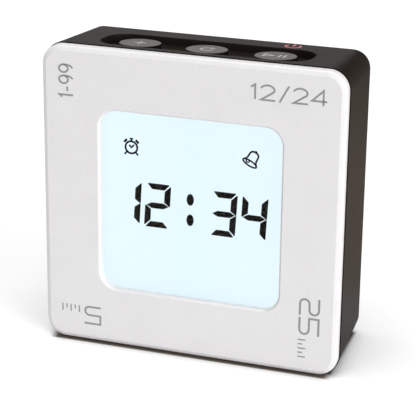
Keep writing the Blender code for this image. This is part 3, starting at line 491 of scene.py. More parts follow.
key_holes = [rod(s * BUTTON_PITCH, 0, soften([
    (0, -5, 0), (BUTTON_RADIUS + GAP, -5, 0), (BUTTON_RADIUS + GAP, -TRAY_DEPTH - 0.1, 0.15),
    (BUTTON_RADIUS + 1, -TRAY_DEPTH + 0.65, 0), (0, -TRAY_DEPTH + 0.65, 0)], 3),
    from_above, 16) for s in (-1, 0, 1)]
boss_holes = [pin(s * BUTTON_PITCH / 2, 0, 0.95, -13, -7.4, from_above) for s in SIDES]
shape(housing, ("cut", [skin(hollow, from_front)]),
      ("add", [skin(tub, from_above)]), ("add", bosses),
      ("cut", [skin(tray, from_above)]), ("cut", key_holes), ("cut", boss_holes))
print("housing with its tray: %d faces" % len(housing.data.polygons))

# %% Housing, bay and back
wall_inside = BODY_DEPTH - WALL / 2
bay_block = bar((-28.175, 30.0, 11.2), (28.175, 58.0, wall_inside), radius=0.6)
case_bosses = [pin(x, z, 3, 5.25, wall_inside) for x, z in CASE_SCREWS]
switch_ribs = [block(KNOB[0], KNOB[1] + s * 3.6, 5.05, 0.6, 17, wall_inside) for s in SIDES]
foot_slots = [block(s * FOOT_X, 32.55, FOOT_HALF + GAP, 2.85, 21.7, 23.8) for s in SIDES]
tail_slots = [block(x + 0.2, z, 0.45, 1.75, 10.0, 13.6) for x, z in TAILS]
screw_holes = [pin(x, z, 1.3, 5, 12) for x, z in CASE_SCREWS]
ring = [(BUZZER[0] + HOLE_RING * math.cos(k * math.pi / 3),
         BUZZER[1] + HOLE_RING * math.sin(k * math.pi / 3)) for k in range(6)]
shape(housing, ("add", [bay_block]), ("add", case_bosses), ("add", switch_ribs),
      ("cut", [pocket(*BAY, 0.5, BAY_FLOOR, 0.0, (0, BAY_Z))]),
      ("cut", [pocket(*SEAT, 1.25, SEAT_FLOOR, 0.15, (0, BAY_Z))]),
      ("cut", foot_slots), ("cut", tail_slots), ("cut", screw_holes),
      ("cut", [bore(x, z, 2.3, 9.25, 0.2) for x, z in CASE_SCREWS]),
      ("cut", [pocket(4.45, 2.05, 0.6, SLOT_FLOOR, 0.12, KNOB)]),
      ("cut", [bore(x, z, 0.6, SLOT_FLOOR, 0.12) for x, z in [BUZZER, *ring]]))
finish(housing, dark_abs, "case", ["rear_housing"])

# %% [markdown]
# ## Keys
#
# Three round caps that stand in the tray, each on a wider flange under it that keeps it in. A
# cap is a turned form: its profile runs from the middle of the crown down the side. The side is
# drawn near black and glossy, much darker than the thin grey face that lies in the crown. It is
# very slightly dished, so that it catches the light unevenly, as a moulded key does.

# %% Key caps
CAP_TOP = -0.5
FACE_RADIUS = 5.31
FLANGE, FLANGE_TOP, FLANGE_END = 6.05, -4.05, -5.05
KEYS = (("left", -1), ("middle", 0), ("right", 1))
cap_path = soften([(0, CAP_TOP - 0.06, 0), (2.6, CAP_TOP - 0.045, 3.0), (4.7, CAP_TOP, 0.6),
                   (BUTTON_RADIUS, CAP_TOP, 0.22), (BUTTON_RADIUS, FLANGE_TOP, 0),
                   (FLANGE, FLANGE_TOP, 0.1), (FLANGE, FLANGE_END, 0.1), (0, FLANGE_END, 0)], 4)
face_path = soften([(0, CAP_TOP - 0.04, 0), (2.6, CAP_TOP - 0.025, 3.0),
                    (4.7, CAP_TOP + 0.02, 0.6), (FACE_RADIUS, CAP_TOP, 0.1),
                    (FACE_RADIUS, CAP_TOP - 0.12, 0), (0, CAP_TOP - 0.12, 0)], 4)
for side, s in KEYS:
    cap = solid("key_cap_" + side, [rod(s * BUTTON_PITCH, 0, cap_path, from_above, 16)])
    finish(cap, key_black, "key_" + side, ["button_" + side])
    face = solid("key_face_" + side, [rod(s * BUTTON_PITCH, 0, face_path, from_above, 16)])
    finish(face, key_grey, "key_" + side)

# %% [markdown]
# ## The battery door and the power knob
#
# The door is a flat panel that fills its seat with a quarter of a millimetre of play. Two feet
# reach under the back wall and a catch holds it at the top. The scoop near its top edge is for
# a fingertip, and three small ribs give the grip. The knob of the power switch has the same
# kind of grooves.

# %% Battery door
DOOR_IN = BODY_DEPTH - 1.6
door_path = soften([(4, DOOR_IN, 0), (0, DOOR_IN, 0.1), (0, BODY_DEPTH, 0.25),
                    (4, BODY_DEPTH, 0)], 4)
door = solid("door_panel", [skin(rings(DOOR_HALF_U, DOOR_HALF_V, 1.0, door_path, (0, BAY_Z),
                                       steps=8), from_front)])
foot_in = BODY_DEPTH - 3.05
uprights = [block(s * FOOT_X, DOOR_BOTTOM + 1.25, FOOT_HALF, 0.95, foot_in, BODY_DEPTH - 0.8)
            for s in SIDES]
hooks = [block(s * FOOT_X, DOOR_BOTTOM + 0.05, FOOT_HALF, 1.55, foot_in, foot_in + 1.0, 0.1)
         for s in SIDES]
catch = block(0, DOOR_BOTTOM + 22.75, 3, 0.5, DOOR_IN - 2, BODY_DEPTH - 0.8, 0.15)
scoop_z = DOOR_BOTTOM + 2 * DOOR_HALF_V - 3.5
scoop = pocket(5.7, 1.2, 1.2, BODY_DEPTH - 0.7, 0.2, (0, scoop_z), 0.4)
grips = [block(0, scoop_z + k * 0.75, 4.2, 0.14, BODY_DEPTH - 0.9, BODY_DEPTH - 0.35, 0.08)
         for k in (-1, 0, 1)]
shape(door, ("add", uprights), ("add", hooks), ("add", [catch]), ("cut", [scoop]),
      ("add", grips))
finish(door, dark_abs, "door", ["battery_door"])

# %% Power knob
KNOB_X, KNOB_Z = KNOB[0] + 1.5, KNOB[1]
knob = solid("knob_cap", [block(KNOB_X, KNOB_Z, 7.0, 2.7, 21.95, 23.55, 0.1)])
grip = block(KNOB_X, KNOB_Z, 2.7, 1.8, 23.0, 25.3, 0.18)
grooves = [block(KNOB_X + k, KNOB_Z, 0.25, 3, 24.8, 26) for k in (-2, -1, 0, 1, 2)]
socket = block(KNOB_X, KNOB_Z, 1.25, 1.25, 20.9, 23.2)
shape(knob, ("add", [grip]), ("cut", grooves), ("cut", [socket]))
finish(knob, knob_grey, "power_slide", ["power_knob"])

# %% [markdown]
# ## Flat marks: printed lines and display segments
#
# Prints and segments are very thin raised shapes. A printed sign is a bar of constant width
# along a path; in a bend, its side moves out along the sum of both neighbouring normals. A
# segment is a flat outline with a little thickness. The numerals are drawn here from lines and
# arcs on a square of side 1, and stretched to their place.

# %% Strokes, plaques and arcs
def stroke(path, width, low, high, place, closed=False):
    """A flat bar along a path. Its side at a point is the two neighbouring unit normals n and m
    added up, divided by 1 + n.m, times half the width."""
    path = np.asarray(path, float)
    ahead = np.roll(path, -1, axis=0) - path
    if not closed:
        ahead[-1] = ahead[-2]
    ahead /= np.linalg.norm(ahead, axis=1, keepdims=True)
    behind = np.roll(ahead, 1, axis=0)
    if not closed:
        behind[0] = ahead[0]
    share = 1 + np.sum(ahead * behind, axis=1, keepdims=True)
    side = (ahead + behind)[:, ::-1] * (-1, 1) / share * width / 2
    left, right = path + side, path - side
    rows = [np.column_stack([flat, np.full(len(path), level)])
            for flat, level in ((left, low), (left, high), (right, high), (right, low))]
    return skin(np.stack(rows, axis=1), place, closed)


def plaque(outline, low, high, place):
    """A flat outline with a little thickness."""
    outline = np.asarray(outline, float)
    rows = [np.column_stack([outline, np.full(len(outline), level)]) for level in (low, high)]
    return skin(np.stack(rows), place)


def arc(u, v, half_u, half_v, start, end, steps=24):
    """Part of an ellipse: centre + (half_u cos a, half_v sin a), a from start to end."""
    angle = np.radians(np.linspace(start, end, steps + 1))
    return np.column_stack([u + half_u * np.cos(angle), v + half_v * np.sin(angle)])


def turned(path, degrees, u=0.0, v=0.0):
    """A flat path turned about (0, 0) and moved to (u, v)."""
    a = math.radians(degrees)
    turn = np.array([[math.cos(a), math.sin(a)], [-math.sin(a), math.cos(a)]])
    return np.asarray(path, float) @ turn + (u, v)


def chain(*paths):
    """Several paths drawn as one."""
    return np.concatenate([np.asarray(path, float) for path in paths])


print("points of a quarter arc:", len(arc(0, 0, 1, 1, 0, 90)))

# %% Numerals on a square of side 1
SQUARISH = {
    "2": (1.0, [chain([(0.0, 1.0)], arc(0.66, 0.75, 0.26, 0.25, 90, -90, 12),
                      arc(0.33, 0.25, 0.26, 0.25, 90, 270, 12), [(1.0, 0.0)])]),
    "5": (1.0, [chain([(1.0, 1.0), (0.045, 1.0), (0.045, 0.5)],
                      arc(0.685, 0.25, 0.27, 0.25, 90, -90, 12), [(0.0, 0.0)])]),
}
NUMERALS = {
    "1": (0.45, [[(0.1, 0.8), (0.75, 1.0), (0.75, 0.0)]]),
    "2": (1.0, [chain(arc(0.48, 0.7, 0.46, 0.3, 165, -28), [(0.04, 0.0), (1.0, 0.0)])]),
    "4": (1.0, [[(0.76, 0.0), (0.76, 1.0), (0.0, 0.28), (1.0, 0.28)]]),
    "9": (1.0, [chain(arc(0.5, 0.68, 0.47, 0.32, -15, 345), [(0.98, 0.6)],
                      arc(0.42, 0.5, 0.55, 0.5, -5, -70, 12))]),
    "/": (0.7, [[(0.05, -0.08), (0.95, 1.08)]]),
    "-": (0.55, [[(0.0, 0.42), (1.0, 0.42)]]),
}


def numerals(text, length, height, space, signs=NUMERALS):
    """Strokes of a text in a box of this length and height, centred on (0, 0)."""
    widths = np.array([signs[sign][0] for sign in text])
    scale = (length - space * (len(text) - 1)) / widths.sum()
    starts = np.cumsum(np.concatenate([[0], widths[:-1] * scale + space])) - length / 2
    return [np.asarray(path) * (width * scale, height) + (start, -height / 2)
            for sign, width, start in zip(text, widths, starts)
            for path in signs[sign][1]]


def minute_marks(length, height):
    """Five upright ticks, as on a minute scale: long at the ends and in the middle."""
    places = np.linspace(-length / 2, length / 2, 5)
    tops = (height, height * 0.6, height, height * 0.6, height)
    return [[(x, -height / 2), (x, top - height / 2)] for x, top in zip(places, tops)]


print("numerals:", " ".join(sorted({*NUMERALS, *SQUARISH})))

# %% [markdown]
# ## The prints on the plate
#
# Each side of the front has a print that reads upright when that side is at the bottom, because
# the timer is tipped onto a side to start that time. The numerals are thin and even, and a
# short minute scale stands beside two of them. A print could be a picture on the plate, but
# strokes as thin solids stay crisp at any distance. Each row holds the strokes, their width,
# their turn in degrees, and the middle of the print.

# %% Prints on the plate
INK = (PLATE_FACE - 0.02, PLATE_FACE + 0.05)
PRINTS = ((numerals("12/24", 19.3, 3.7, 0.95), 0.48, 0, 25.25, 73.0),
          (numerals("1-99", 8.6, 3.8, 0.75), 0.48, 90, -32.95, 70.66),
          (numerals("25", 10.0, 4.96, 0.55, SQUARISH), 0.54, -90, 32.37, 16.02),
          (numerals("5", 4.68, 4.7, 0, SQUARISH), 0.52, 180, -26.44, 7.48),
          (minute_marks(4.7, 2.0), 0.36, -90, 30.6, 7.2),
          (minute_marks(4.7, 2.0), 0.36, 180, -32.6, 8.9))
prints = [stroke(turned(path, degrees, u, v), width, *INK, from_front)
          for paths, width, degrees, u, v in PRINTS for path in paths]
finish(solid("plate_print", prints), pad_ink, "case")

# %% [markdown]
# ## The signs on the top side
#
# A red power sign lies over the knob on the back, and each key carries a small pale sign: add,
# start over, and start or pause. They are strokes as well, and the key signs ride on their
# keys, so that they go down with them.

# %% Power sign and key signs
SIGN = (-0.05, 0.02)
POWER_X = 19.15
power = [stroke(arc(POWER_X, 11.35, 1.95, 1.95, 137, 403, 40), 0.55, *SIGN, from_above),
         stroke([(POWER_X, 11.5), (POWER_X, 13.85)], 0.6, *SIGN, from_above)]
finish(solid("power_sign", power), red_ink, "case")

key_paths = {
    "left": [([(-1.6, 0), (1.6, 0)], False), ([(0, -1.6), (0, 1.6)], False)],
    "middle": [(arc(0, 0, 1.6, 1.6, 60, 345), False),
               ([(0.75, 2.35), (0.75, 1.1), (2.0, 1.1)], False)],
    "right": [([(-3.0, -1.5), (-3.0, 1.5), (-0.6, 0)], True),
              ([(1.0, -1.6), (1.0, 1.6)], False), ([(2.3, -1.6), (2.3, 1.6)], False)],
}
for side, s in KEYS:
    marks = [stroke(np.asarray(path) + (s * BUTTON_PITCH, 0), 0.55, CAP_TOP - 0.1,
                    CAP_TOP + 0.015, from_above, closed) for path, closed in key_paths[side]]
    finish(solid("key_sign_" + side, marks), key_ink, "key_" + side)

# %% [markdown]
# ## The lit display
#
# Behind a clear pane lies the liquid-crystal glass, which looks like a pale blue-white sheet
# with the lamp on behind it. Its segments are opaque and dark. The sheet gives off its own
# light, as a backlit display does, and the segments stand just in front of it.

# %% Display materials
def lit_sheet():
    """Backlit polariser film: even pale cyan light, slightly stronger towards the two lamps
    at its sides, with the faint milky clouds of a diffuser."""
    made, tree, shader, coords = new_material("Backlit polariser film")
    across = node(tree, "SeparateXYZ", {0: coords}).outputs[0]
    side = node(tree, "Math", {0: across}, operation='ABSOLUTE').outputs[0]
    glow = steer(tree, side, 0.0, 26 * MM)
    both = combine(tree, 'MULTIPLY', glow, grain(tree, coords, 14.0))
    bump = node(tree, "Bump", {"Height": grain(tree, coords, 0.3), "Distance": 0.002 * MM})
    wire(tree, shader, {
        "Emission Color": blend(tree, both, linear("#e2f5fd"), linear("#e9f8fe")),
        "Emission Strength": 0.97, "Base Color": linear("#30383a"), "Roughness": 0.5,
        "Normal": bump.outputs[0]})
    return made


def clear_sheet(name, tint, rough, ior):
    """A clear sheet with the faintest unevenness in its shine. Plain acrylic has an IOR of
    1.49 and glass 1.52. Their coats take nearly all of the shine away, as a lower IOR does."""
    made, tree, shader, coords = new_material(name)
    wire(tree, shader, {
        "Base Color": linear(tint), "IOR": ior, "Transmission Weight": 1.0,
        "Roughness": steer(tree, grain(tree, coords, 6.0), *NOISE, rough, rough + 0.02)})
    return made


display_light = lit_sheet()
display_ink = moulded("Dark liquid-crystal segment", "#1b1a18", "#171614", 0.6, 0.2, 0.0005, 8,
                      gloss=0.0)
sign_ink = moulded("Black liquid-crystal sign", "#0e0d0c", "#0b0a0a", 0.6, 0.2, 0.0005, 8,
                   gloss=0.0)
acrylic = clear_sheet("Clear acrylic pane with anti-glare coat", "#ffffff", 0.02, 1.12)
glass = clear_sheet("Coated display glass", "#eefaf6", 0.01, 1.15)
print("display finishes:", display_light.name + ",", acrylic.name)

# %% Display sheet
SHEET_HALF = 25.9
SHEET_FRONT, SHEET_BACK = 0.93, 1.03
LEVEL = (0.85, SHEET_FRONT + 0.01)
sheet_path = soften([(8, SHEET_FRONT, 0), (0, SHEET_FRONT, 0.02), (0, SHEET_BACK, 0.02),
                     (8, SHEET_BACK, 0)], 2)
sheet = solid("display_film", [skin(rings(SHEET_HALF, SHEET_HALF, 0.5, sheet_path, AXIS,
                                          steps=4), from_front)])
finish(sheet, display_light, "case")

# %% [markdown]
# ## Seven-segment digits
#
# A digit is a box of 6.75 by 11.85 mm that leans over a little. Each segment is a flat outline
# with slanted ends, and a hair of light separates it from its neighbours. Three outlines are
# drawn, and the others are their mirror images. The signs in the upper corners, an alarm clock
# and a bell, are drawn with the same strokes as the prints.

# %% Segments of a digit
WIDE, HIGH, THICK = 6.75, 11.85, 1.64
SLIT, TIP, DROP, BLUNT = 0.27, 0.08, 1.0, 0.36
BAR_HIGH, BAR_IN = 1.56, 1.4
BAR_HALF, EASE = 0.76, 0.1
HALF = HIGH / 2
top_bar = [(SLIT + BLUNT / 2, HIGH - BLUNT / 2), (SLIT + BLUNT, HIGH), (WIDE - SLIT - BLUNT, HIGH),
           (WIDE - SLIT - BLUNT / 2, HIGH - BLUNT / 2), (WIDE - BAR_IN - SLIT, HIGH - BAR_HIGH),
           (BAR_IN + SLIT, HIGH - BAR_HIGH)]
middle_bar = [(SLIT + EASE, HALF), (THICK + EASE, HALF + BAR_HALF),
              (WIDE - THICK - EASE, HALF + BAR_HALF), (WIDE - SLIT - EASE, HALF),
              (WIDE - THICK - EASE, HALF - BAR_HALF), (THICK + EASE, HALF - BAR_HALF)]
upper_right = [(WIDE, HIGH - SLIT - BLUNT), (WIDE - BLUNT / 2, HIGH - SLIT - BLUNT / 2),
               (WIDE - THICK, HIGH - THICK - SLIT), (WIDE - THICK, HALF + TIP + DROP),
               (WIDE - 0.28, HALF + TIP), (WIDE - 0.05, HALF + TIP), (WIDE, HALF + TIP + EASE)]


def mirrored(outline, across=False, down=False):
    """The same outline on the other side of the digit."""
    points = np.asarray(outline, float)
    if across:
        points = points * (-1, 1) + (WIDE, 0)
    if down:
        points = points * (1, -1) + (0, HIGH)
    return points


SEGMENTS = {
    "a": np.array(top_bar), "b": np.array(upper_right), "g": np.array(middle_bar),
    "c": mirrored(upper_right, down=True), "d": mirrored(top_bar, down=True),
    "e": mirrored(upper_right, True, True), "f": mirrored(upper_right, True),
}
DIGITS = (("bc", -21.0, 33.6), ("abged", -13.03, 33.5), ("abgcd", 4.75, 33.45),
          ("fgbc", 12.8, 33.45))
SLANT = 0.055
DEEPER, SHIFT = 1.0023, -0.07


def on_display(u, v):
    """A place measured in the plane of the window's back edge, moved to the plane of the
    segments as the camera sees it: its distance from the camera's foot grows by DEEPER."""
    return EYE[0] + SHIFT + (u - EYE[0]) * DEEPER, EYE[2] + SHIFT + (v - EYE[2]) * DEEPER


segments = []
for letters, u, v in DIGITS:
    for letter in letters:
        outline = SEGMENTS[letter] + SEGMENTS[letter][:, 1:] * (SLANT, 0)
        segments.append(plaque(outline + on_display(u, v), *LEVEL, from_front))
for v in (42.13, 36.64):
    segments.append(plaque(arc(*on_display(-0.5, v), 0.97, 1.56, 0, 345, 23), *LEVEL,
                           from_front))
finish(solid("display_segments", segments), display_ink, "case")

# %% Alarm clock and bell
clock_lines = [(arc(0, 0, 1.6, 1.6, 0, 352.5, 47), 0.49, True),
               ([(-0.6, 0.6), (0, 0), (0.78, 0.7)], 0.44, False),
               (arc(0, 0, 2.3, 2.3, 32, 60, 8), 0.6, False),
               (arc(0, 0, 2.3, 2.3, 120, 148, 8), 0.6, False),
               ([(0, 1.75), (0, 2.25)], 0.42, False),
               ([(-0.42, 2.3), (0.42, 2.3)], 0.42, False),
               ([(-1.15, -1.2), (-1.85, -1.95)], 0.46, False),
               ([(1.15, -1.2), (1.85, -1.95)], 0.46, False)]
side = soften([(0.0, 2.15, 0), (1.15, 2.1, 0.95), (1.25, -0.2, 1.6), (1.95, -1.05, 0)], 6)
bell_lines = [(chain(side[::-1] * (-1, 1), side[1:]), 0.45, False),
              (arc(0, -1.12, 1.95, 0.66, 0, 350, 35), 0.42, True),
              (arc(-0.72, -0.86, 0.4, 0.4, 0, 340, 17), 0.34, True),
              ([(0, 2.15), (0, 2.6)], 0.55, False)]
small_signs = [
    stroke(turned(path, degrees, *centre), width, *LEVEL, from_front, closed)
    for lines, degrees, centre in ((clock_lines, 0, on_display(-16.45, 54.25)),
                                   (bell_lines, -28, on_display(15.55, 54.7)))
    for path, width, closed in lines]
finish(solid("display_signs", small_signs), sign_ink, "case")

# %% [markdown]
# ## Cells and springs
#
# With the door open, two cells lie in the bay. A cell is a steel can in a printed sleeve, with
# a nub at the positive end. It is one turned profile. The sleeve's band is placed by the
# coordinate along the cell. The springs are wire along a cone: the path is
# (pitch * turn, r cos a, r sin a), with the radius r falling towards the tip.

# %% Cells
def cell_sleeve(name, positive):
    """Blue-grey sleeve with a pale band at the positive end, and bright steel caps."""
    made, tree, shader, coords = new_material(name)
    along = node(tree, "SeparateXYZ", {0: coords}).outputs[0]
    share = steer(tree, along, -positive * 20.0 * MM, positive * 24.5 * MM)
    ramp = node(tree, "ValToRGB", {0: share})
    ramp.color_ramp.interpolation = 'CONSTANT'
    stops = [(0.0, "#a9a9a6"), (0.012, "#3c4b5c"), (0.84, "#c3c8cc"), (0.965, "#a9a9a6")]
    ramp.color_ramp.elements[1].position = stops[1][0]
    for position, _ in stops[2:]:
        ramp.color_ramp.elements.new(position)
    for element, (_, colour) in zip(ramp.color_ramp.elements, stops):
        element.color = linear(colour)
    wire(tree, shader, {"Base Color": ramp.outputs[0],
                        "Roughness": steer(tree, grain(tree, coords, 0.4), *NOISE, 0.25, 0.36)})
    return made


CELL_FLAT, CELL_TIP = 20.025, 24.475
CELL_BODY = 43.5
CELL_RADIUS, NUB_RADIUS = 5.25, 1.9
for name, positive, z in (("upper", 1, UPPER_CELL_Z), ("lower", -1, LOWER_CELL_Z)):
    flat, tip = -positive * CELL_FLAT, positive * CELL_TIP
    body = positive * CELL_BODY
    path = soften([(0, flat, 0), (5.0, flat, 0.3), (CELL_RADIUS, flat + positive * 0.35, 0.1),
                   (CELL_RADIUS, flat + body - positive * 0.5, 0.3), (4.7, flat + body, 0.3),
                   (2.2, flat + body, 0.15), (NUB_RADIUS, flat + body + positive * 0.1, 0.05),
                   (NUB_RADIUS, tip, 0.3), (0, tip, 0)], 3)
    cell = solid("cell_" + name, [rod(CELL_Y, z, path, from_left, 14)])
    finish(cell, cell_sleeve("Printed cell sleeve, " + name, positive), "case",
           ["battery_" + name])

# %% Springs
nickel = moulded("Nickel-plated spring steel", "#b9b6ae", "#a8a59d", 0.24, 0.3, 0.0008, 2.0,
                 metallic=1.0)
TURNS, PER_TURN, AROUND = 4, 28, 8
SPRING_FOOT, SPRING_TAPER, SPRING_LONG = 3.4, 1.8, 3.7
WIRE = 0.25
for name, side, z in (("upper", -1, UPPER_CELL_Z), ("lower", 1, LOWER_CELL_Z)):
    share = np.linspace(0, 1, TURNS * PER_TURN + 1)
    angle = 2 * math.pi * TURNS * share
    radius = SPRING_FOOT - SPRING_TAPER * share
    along = side * CELL_TIP - side * (WIRE + SPRING_LONG * share)
    out = np.stack([np.cos(angle), np.sin(angle), np.zeros_like(angle)], axis=1)
    path = out * radius[:, None] + np.stack([np.full_like(along, CELL_Y),
                                             np.full_like(along, z), along], axis=1)
    ahead = np.gradient(path, axis=0)
    ahead /= np.linalg.norm(ahead, axis=1, keepdims=True)
    across = np.cross(ahead, out)
    turn = np.linspace(0, 2 * math.pi, AROUND, endpoint=False)[None, :, None]
    coil = path[:, None] + WIRE * (np.cos(turn) * out[:, None] + np.sin(turn) * across[:, None])
    finish(solid("spring_" + name, [skin(coil, from_left)]), nickel, "case",
           ["contact_spring_" + name])

# %% [markdown]
# ## Finishes of the inner pieces
#
# The pieces that keep their CAD shape get a better finish: green solder mask, black epoxy,
# zinc-plated screws, silicone rubber and milky light guides.

# %% Inner finishes
solder_mask = moulded("Green solder mask", "#1f5a36", "#17492b", 0.35, 0.5, 0.004, 2.5)
epoxy = moulded("Black moulding epoxy", "#1c1c1d", "#242425", 0.45, 0.15, 0.004)
zinc = moulded("Zinc-plated steel", "#b4b4b2", "#9d9d9b", 0.3, 0.25, 0.001, 1.0, metallic=1.0)
silicone = moulded("Carbon-striped silicone rubber", "#b98f9a", "#2a2528", 0.65, 0.4, 0.004, 0.6)
milky = moulded("Milky acrylic", "#e4eef2", "#d9e6ea", 0.35, 0.3, 0.001)
film = moulded("White reflector film", "#f0f0ee", "#e6e6e4", 0.4, 0.6, 0.002)
lamp_white = moulded("Ceramic lamp body", "#ece9dd", "#dcd8c8", 0.4, 0.2, 0.001)
flat_cable = moulded("Polyester flat cable", "#dfe3e2", "#b9bdbd", 0.3, 0.8, 0.004, 1.0)
sleeve = moulded("Capacitor sleeve", "#1f2b38", "#283746", 0.3, 0.3, 0.001)
FINISHES = {
    "display_window": acrylic, "lcd_front_glass": glass, "lcd_rear_glass": glass,
    "diffuser_sheet": milky, "light_guide": milky, "reflector_sheet": film,
    "backlight_led": lamp_white, "lcd_holder": white_abs, "zebra_strip": silicone,
    "main_pcb": solder_mask, "key_board": solder_mask, "board_screw": zinc, "case_screw": zinc,
    "key_screw": zinc, "control_chip": epoxy, "orientation_sensor": epoxy,
    "piezo_buzzer": epoxy, "tact_plunger": epoxy, "power_slider": epoxy,
    "timing_crystal": zinc, "tact_switch": zinc, "power_switch_case": zinc,
    "contact_plate": nickel, "key_ribbon": flat_cable, "capacitor": sleeve,
}
for name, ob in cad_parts.items():
    for start, material in FINISHES.items():
        if name.startswith(start):
            for place in ob.material_slots:
                place.material = material
print("finishes:", len(FINISHES))

# %% [markdown]
# ## Camera
#
# The photograph was taken from the right and from above, with a fairly long lens. The camera's
# place was worked out from the timer's edges, on the timer's own axes, so it leans with them.
# Its focal length was found in pixels, for a picture 416 pixels wide. The Standard view shows
# every colour as it is.

# %% Camera
AZIMUTH, ELEVATION, ROLL = 18.752, 19.622, 0.749
SENSOR, FOCAL_PIXELS, PICTURE_PIXELS = 36.0, 1645.1, 416


def photo_camera():
    """Camera axes from azimuth a and elevation e: back = (sin a cos e, -cos a cos e, sin e),
    right = (cos a, sin a, 0), up = back x right, then both turned by the roll."""
    a, e, roll = (math.radians(value) for value in (AZIMUTH, ELEVATION, ROLL))
    back = np.array([math.sin(a) * math.cos(e), -math.cos(a) * math.cos(e), math.sin(e)])
    right = np.array([math.cos(a), math.sin(a), 0.0])
    up = np.cross(back, right)
    axes = np.stack([math.cos(roll) * right + math.sin(roll) * up,
                     math.cos(roll) * up - math.sin(roll) * right, back]) @ LEAN.T
    place = from_timer(np.array(EYE)) * MM
    data = bpy.data.cameras.new("photo_camera")
    data.sensor_width = SENSOR
    data.lens = FOCAL_PIXELS / PICTURE_PIXELS * SENSOR
    data.clip_start, data.clip_end = 0.02, 20.0
    camera = bpy.data.objects.new("photo_camera", data)
    bpy.context.scene.collection.objects.link(camera)
    camera.matrix_world = Matrix.Translation(place.tolist()) @ Matrix(axes.T.tolist()).to_4x4()
    bpy.context.scene.camera = camera
    return camera


bpy.context.scene.view_settings.view_transform = 'Standard'
print("lens: %.1f mm" % photo_camera().data.lens)

# %% [markdown]
# ## Studio
#
# A white floor that runs out of sight, and soft light: a large panel on the right, which makes
# the plate's right edge the brightest line, a weaker one above, and an even white world. The
# floor and world look pure white to the camera, and the floor keeps the shadow. Close round
# the timer, the floor also carries a painted contact shadow.

# %% Floor and world
LIFT = 0.28
RIM_SHADE = 0.27
WORLD_LIGHT = 0.4
FLOOR_TOP, FLOOR_UNDER, FAR = -0.02, -1.0, 3000.0


def as_it_is(points):
    """The world's own axes, for what stands round the timer."""
    return points


def between(tree, value, low, high, soft):
    """1 between two levels and 0 outside, with a soft step at both."""
    rise = steer(tree, value, low - soft, low + soft)
    fall = steer(tree, value, high - soft, high + soft, 1.0, 0.0)
    return combine(tree, 'MULTIPLY', rise, fall)


def patch(tree, place, across, back):
    """1 inside a rectangle on the floor and 0 outside. Both sides are (low, high, softness),
    in millimetres."""
    x = between(tree, place[0], *(limit * MM for limit in across))
    y = between(tree, place[1], *(limit * MM for limit in back))
    return combine(tree, 'MULTIPLY', x, y)


def seen_directly(tree):
    """1 for rays that come from the camera, or by a reflection or through clear plastic."""
    ways = node(tree, "LightPath", {}).outputs
    return combine(tree, 'MAXIMUM', ways["Is Camera Ray"], ways["Is Glossy Ray"],
                   ways["Is Transmission Ray"])


def white_floor():
    """White card: its own diffuse light, and a lift that only rays seen directly get, so that
    the lit floor reaches white and its shadow stays. Close to the timer, painted shade from
    ambient occlusion deepens the contact shadow. Three soft patches carry a painted shadow,
    where hardly any light gets in: the slot under the overhanging plate, a faint rim round that
    slot, and the edge under the right side's rounded corner. The lift is left off there."""
    made, tree, shader, coords = new_material("White floor card")
    card = blend(tree, grain(tree, coords, 40.0), linear("#f2f2f2"), linear("#f0f0f0"))
    place = node(tree, "SeparateXYZ", {0: coords}).outputs
    # Painted shade: where ambient occlusion finds the timer close, the card is blended towards
    # #56524e, fading out in front of the plate.
    near = node(tree, "AmbientOcclusion", {"Distance": 6 * MM}, samples=8).outputs["AO"]
    behind = steer(tree, place[1], -18.5 * MM, -14.5 * MM)
    deep = steer(tree, near, 0.25, 0.85, 1.0, 0.0)
    card = blend(tree, combine(tree, 'MULTIPLY', deep, deep, behind), card, linear("#56524e"))
    # Painted shadow: the slot under the overhanging plate is coloured #7b736a.
    slot = patch(tree, place, (-37.9, 37.4, 1.0), (-16.9, -12.5, 0.3))
    card = blend(tree, slot, card, linear("#7b736a"))
    # Painted shadow: a faint rim round the slot is blended towards black by RIM_SHADE.
    rim = combine(tree, 'MULTIPLY', patch(tree, place, (-38.0, 38.0, 2.5), (-18.7, -12.5, 1.9)),
                  RIM_SHADE)
    card = blend(tree, rim, card, linear("#000000"))
    # Painted shadow: the edge under the right side's rounded corner is coloured #3a3632.
    edge = patch(tree, place, (30.0, 37.9, 0.5), (-14.3, 10.8, 0.5))
    wire(tree, shader, {"Base Color": blend(tree, edge, card, linear("#3a3632")),
                        "Roughness": 0.9, "Specular IOR Level": 0.0})
    # The lift is left off under the painted shadow patches, so that they stay dark.
    open_floor = steer(tree, combine(tree, 'MAXIMUM', slot, rim, edge), 0.0, 1.0, 1.0, 0.0)
    share = combine(tree, 'MULTIPLY', seen_directly(tree), open_floor)
    lift = node(tree, "Emission", {"Color": linear("#ffffff"),
                                   "Strength": steer(tree, share, 0.0, 1.0, 0.0, LIFT)})
    both = node(tree, "AddShader", {0: shader.outputs[0], 1: lift.outputs[0]})
    wire(tree, tree.nodes["Material Output"], {"Surface": both.outputs[0]})
    return made


floor = solid("floor", [skin(np.array([
    [(-FAR, -FAR, z), (FAR, -FAR, z), (FAR, FAR, z), (-FAR, FAR, z)]
    for z in (FLOOR_UNDER, FLOOR_TOP)]), as_it_is)])
floor.data.materials.append(white_floor())

world = bpy.data.worlds.new("studio")
bpy.context.scene.world = world
world.use_nodes = True
tree = world.node_tree
wire(tree, tree.nodes["Background"], {
    "Color": linear("#ffffff"),
    "Strength": steer(tree, seen_directly(tree), 0.0, 1.0, WORLD_LIGHT)})
print("floor: %.0f m wide, world at %.1f" % (2 * FAR * MM, WORLD_LIGHT))

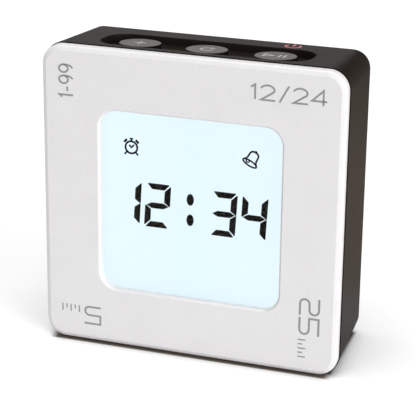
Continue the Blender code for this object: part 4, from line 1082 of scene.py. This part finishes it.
# %% Lamps
def panel(name, place, target, width, height, watts):
    """A soft rectangular lamp at a place, turned to a target, both in metres."""
    data = bpy.data.lights.new(name, 'AREA')
    data.shape = 'RECTANGLE'
    data.size, data.size_y = width, height
    data.energy = watts
    lamp = bpy.data.objects.new(name, data)
    bpy.context.scene.collection.objects.link(lamp)
    back = unit(np.array(place) - np.array(target))
    right = unit(np.cross((0.0, 0.0, 1.0), back))
    axes = Matrix(np.stack([right, np.cross(back, right), back]).T.tolist())
    lamp.matrix_world = Matrix.Translation(place) @ axes.to_4x4()
    return lamp


CENTRE = (0.0, 0.0, 0.04)
for lamp in (panel("right_panel", (2.1, -1.0, 0.55), CENTRE, 1.4, 1.2, 42.0),
             panel("top_panel", (-0.2, -0.1, 2.25), CENTRE, 1.5, 1.5, 25.5)):
    print("%s: %.1f W" % (lamp.name, lamp.data.energy))

# %% [markdown]
# ## Cards behind
#
# A photographer's cards, out of the camera's sight. A black one far behind darkens the
# housing's rounded corner. A cream one close behind on the right glows with painted light,
# dim towards its top, and only reflections see it. It puts a painted brown sheen on the dark
# right side.

# %% Cards
def glowing_reflection_card():
    """Cream card that glows with painted light: bright below, grey higher up, black above the
    timer.
    """
    made, tree, shader, coords = new_material("Cream card with painted glow")
    height = node(tree, "SeparateXYZ", {0: coords}).outputs[2]
    # Painted light: the card's glow is cream below 40 mm, greys up to 70 mm and turns black above.
    glow = linear("#f3e2d1")
    for low, high, colour in ((40, 70, "#aaa19a"), (70, 88, "#080808")):
        glow = blend(tree, steer(tree, height, low * MM, high * MM), glow, linear(colour))
    wire(tree, shader, {"Emission Color": glow, "Emission Strength": 1.0,
                        "Base Color": linear("#000000"), "Specular IOR Level": 0.0})
    return made


flag = solid("dark_flag", [bar((-60, 990, 5), (820, 1000, 820), as_it_is)])
flag.data.materials.append(moulded("Black velvet card", "#0b0b0b", "#080808", 0.9, 2.0, 0.1,
                                   gloss=0.0))
# Painted reflection: this glowing card lights nothing and casts no shadow; only reflections,
# chiefly on the housing's right side, see it.
card = solid("glowing_reflection_card", [bar((36, 35, 0), (260, 37, 200), as_it_is)])
card.data.materials.append(glowing_reflection_card())
card.visible_shadow = False
card.visible_diffuse = False
for made in (flag, card):
    made.visible_camera = False
    print("card:", made.name)
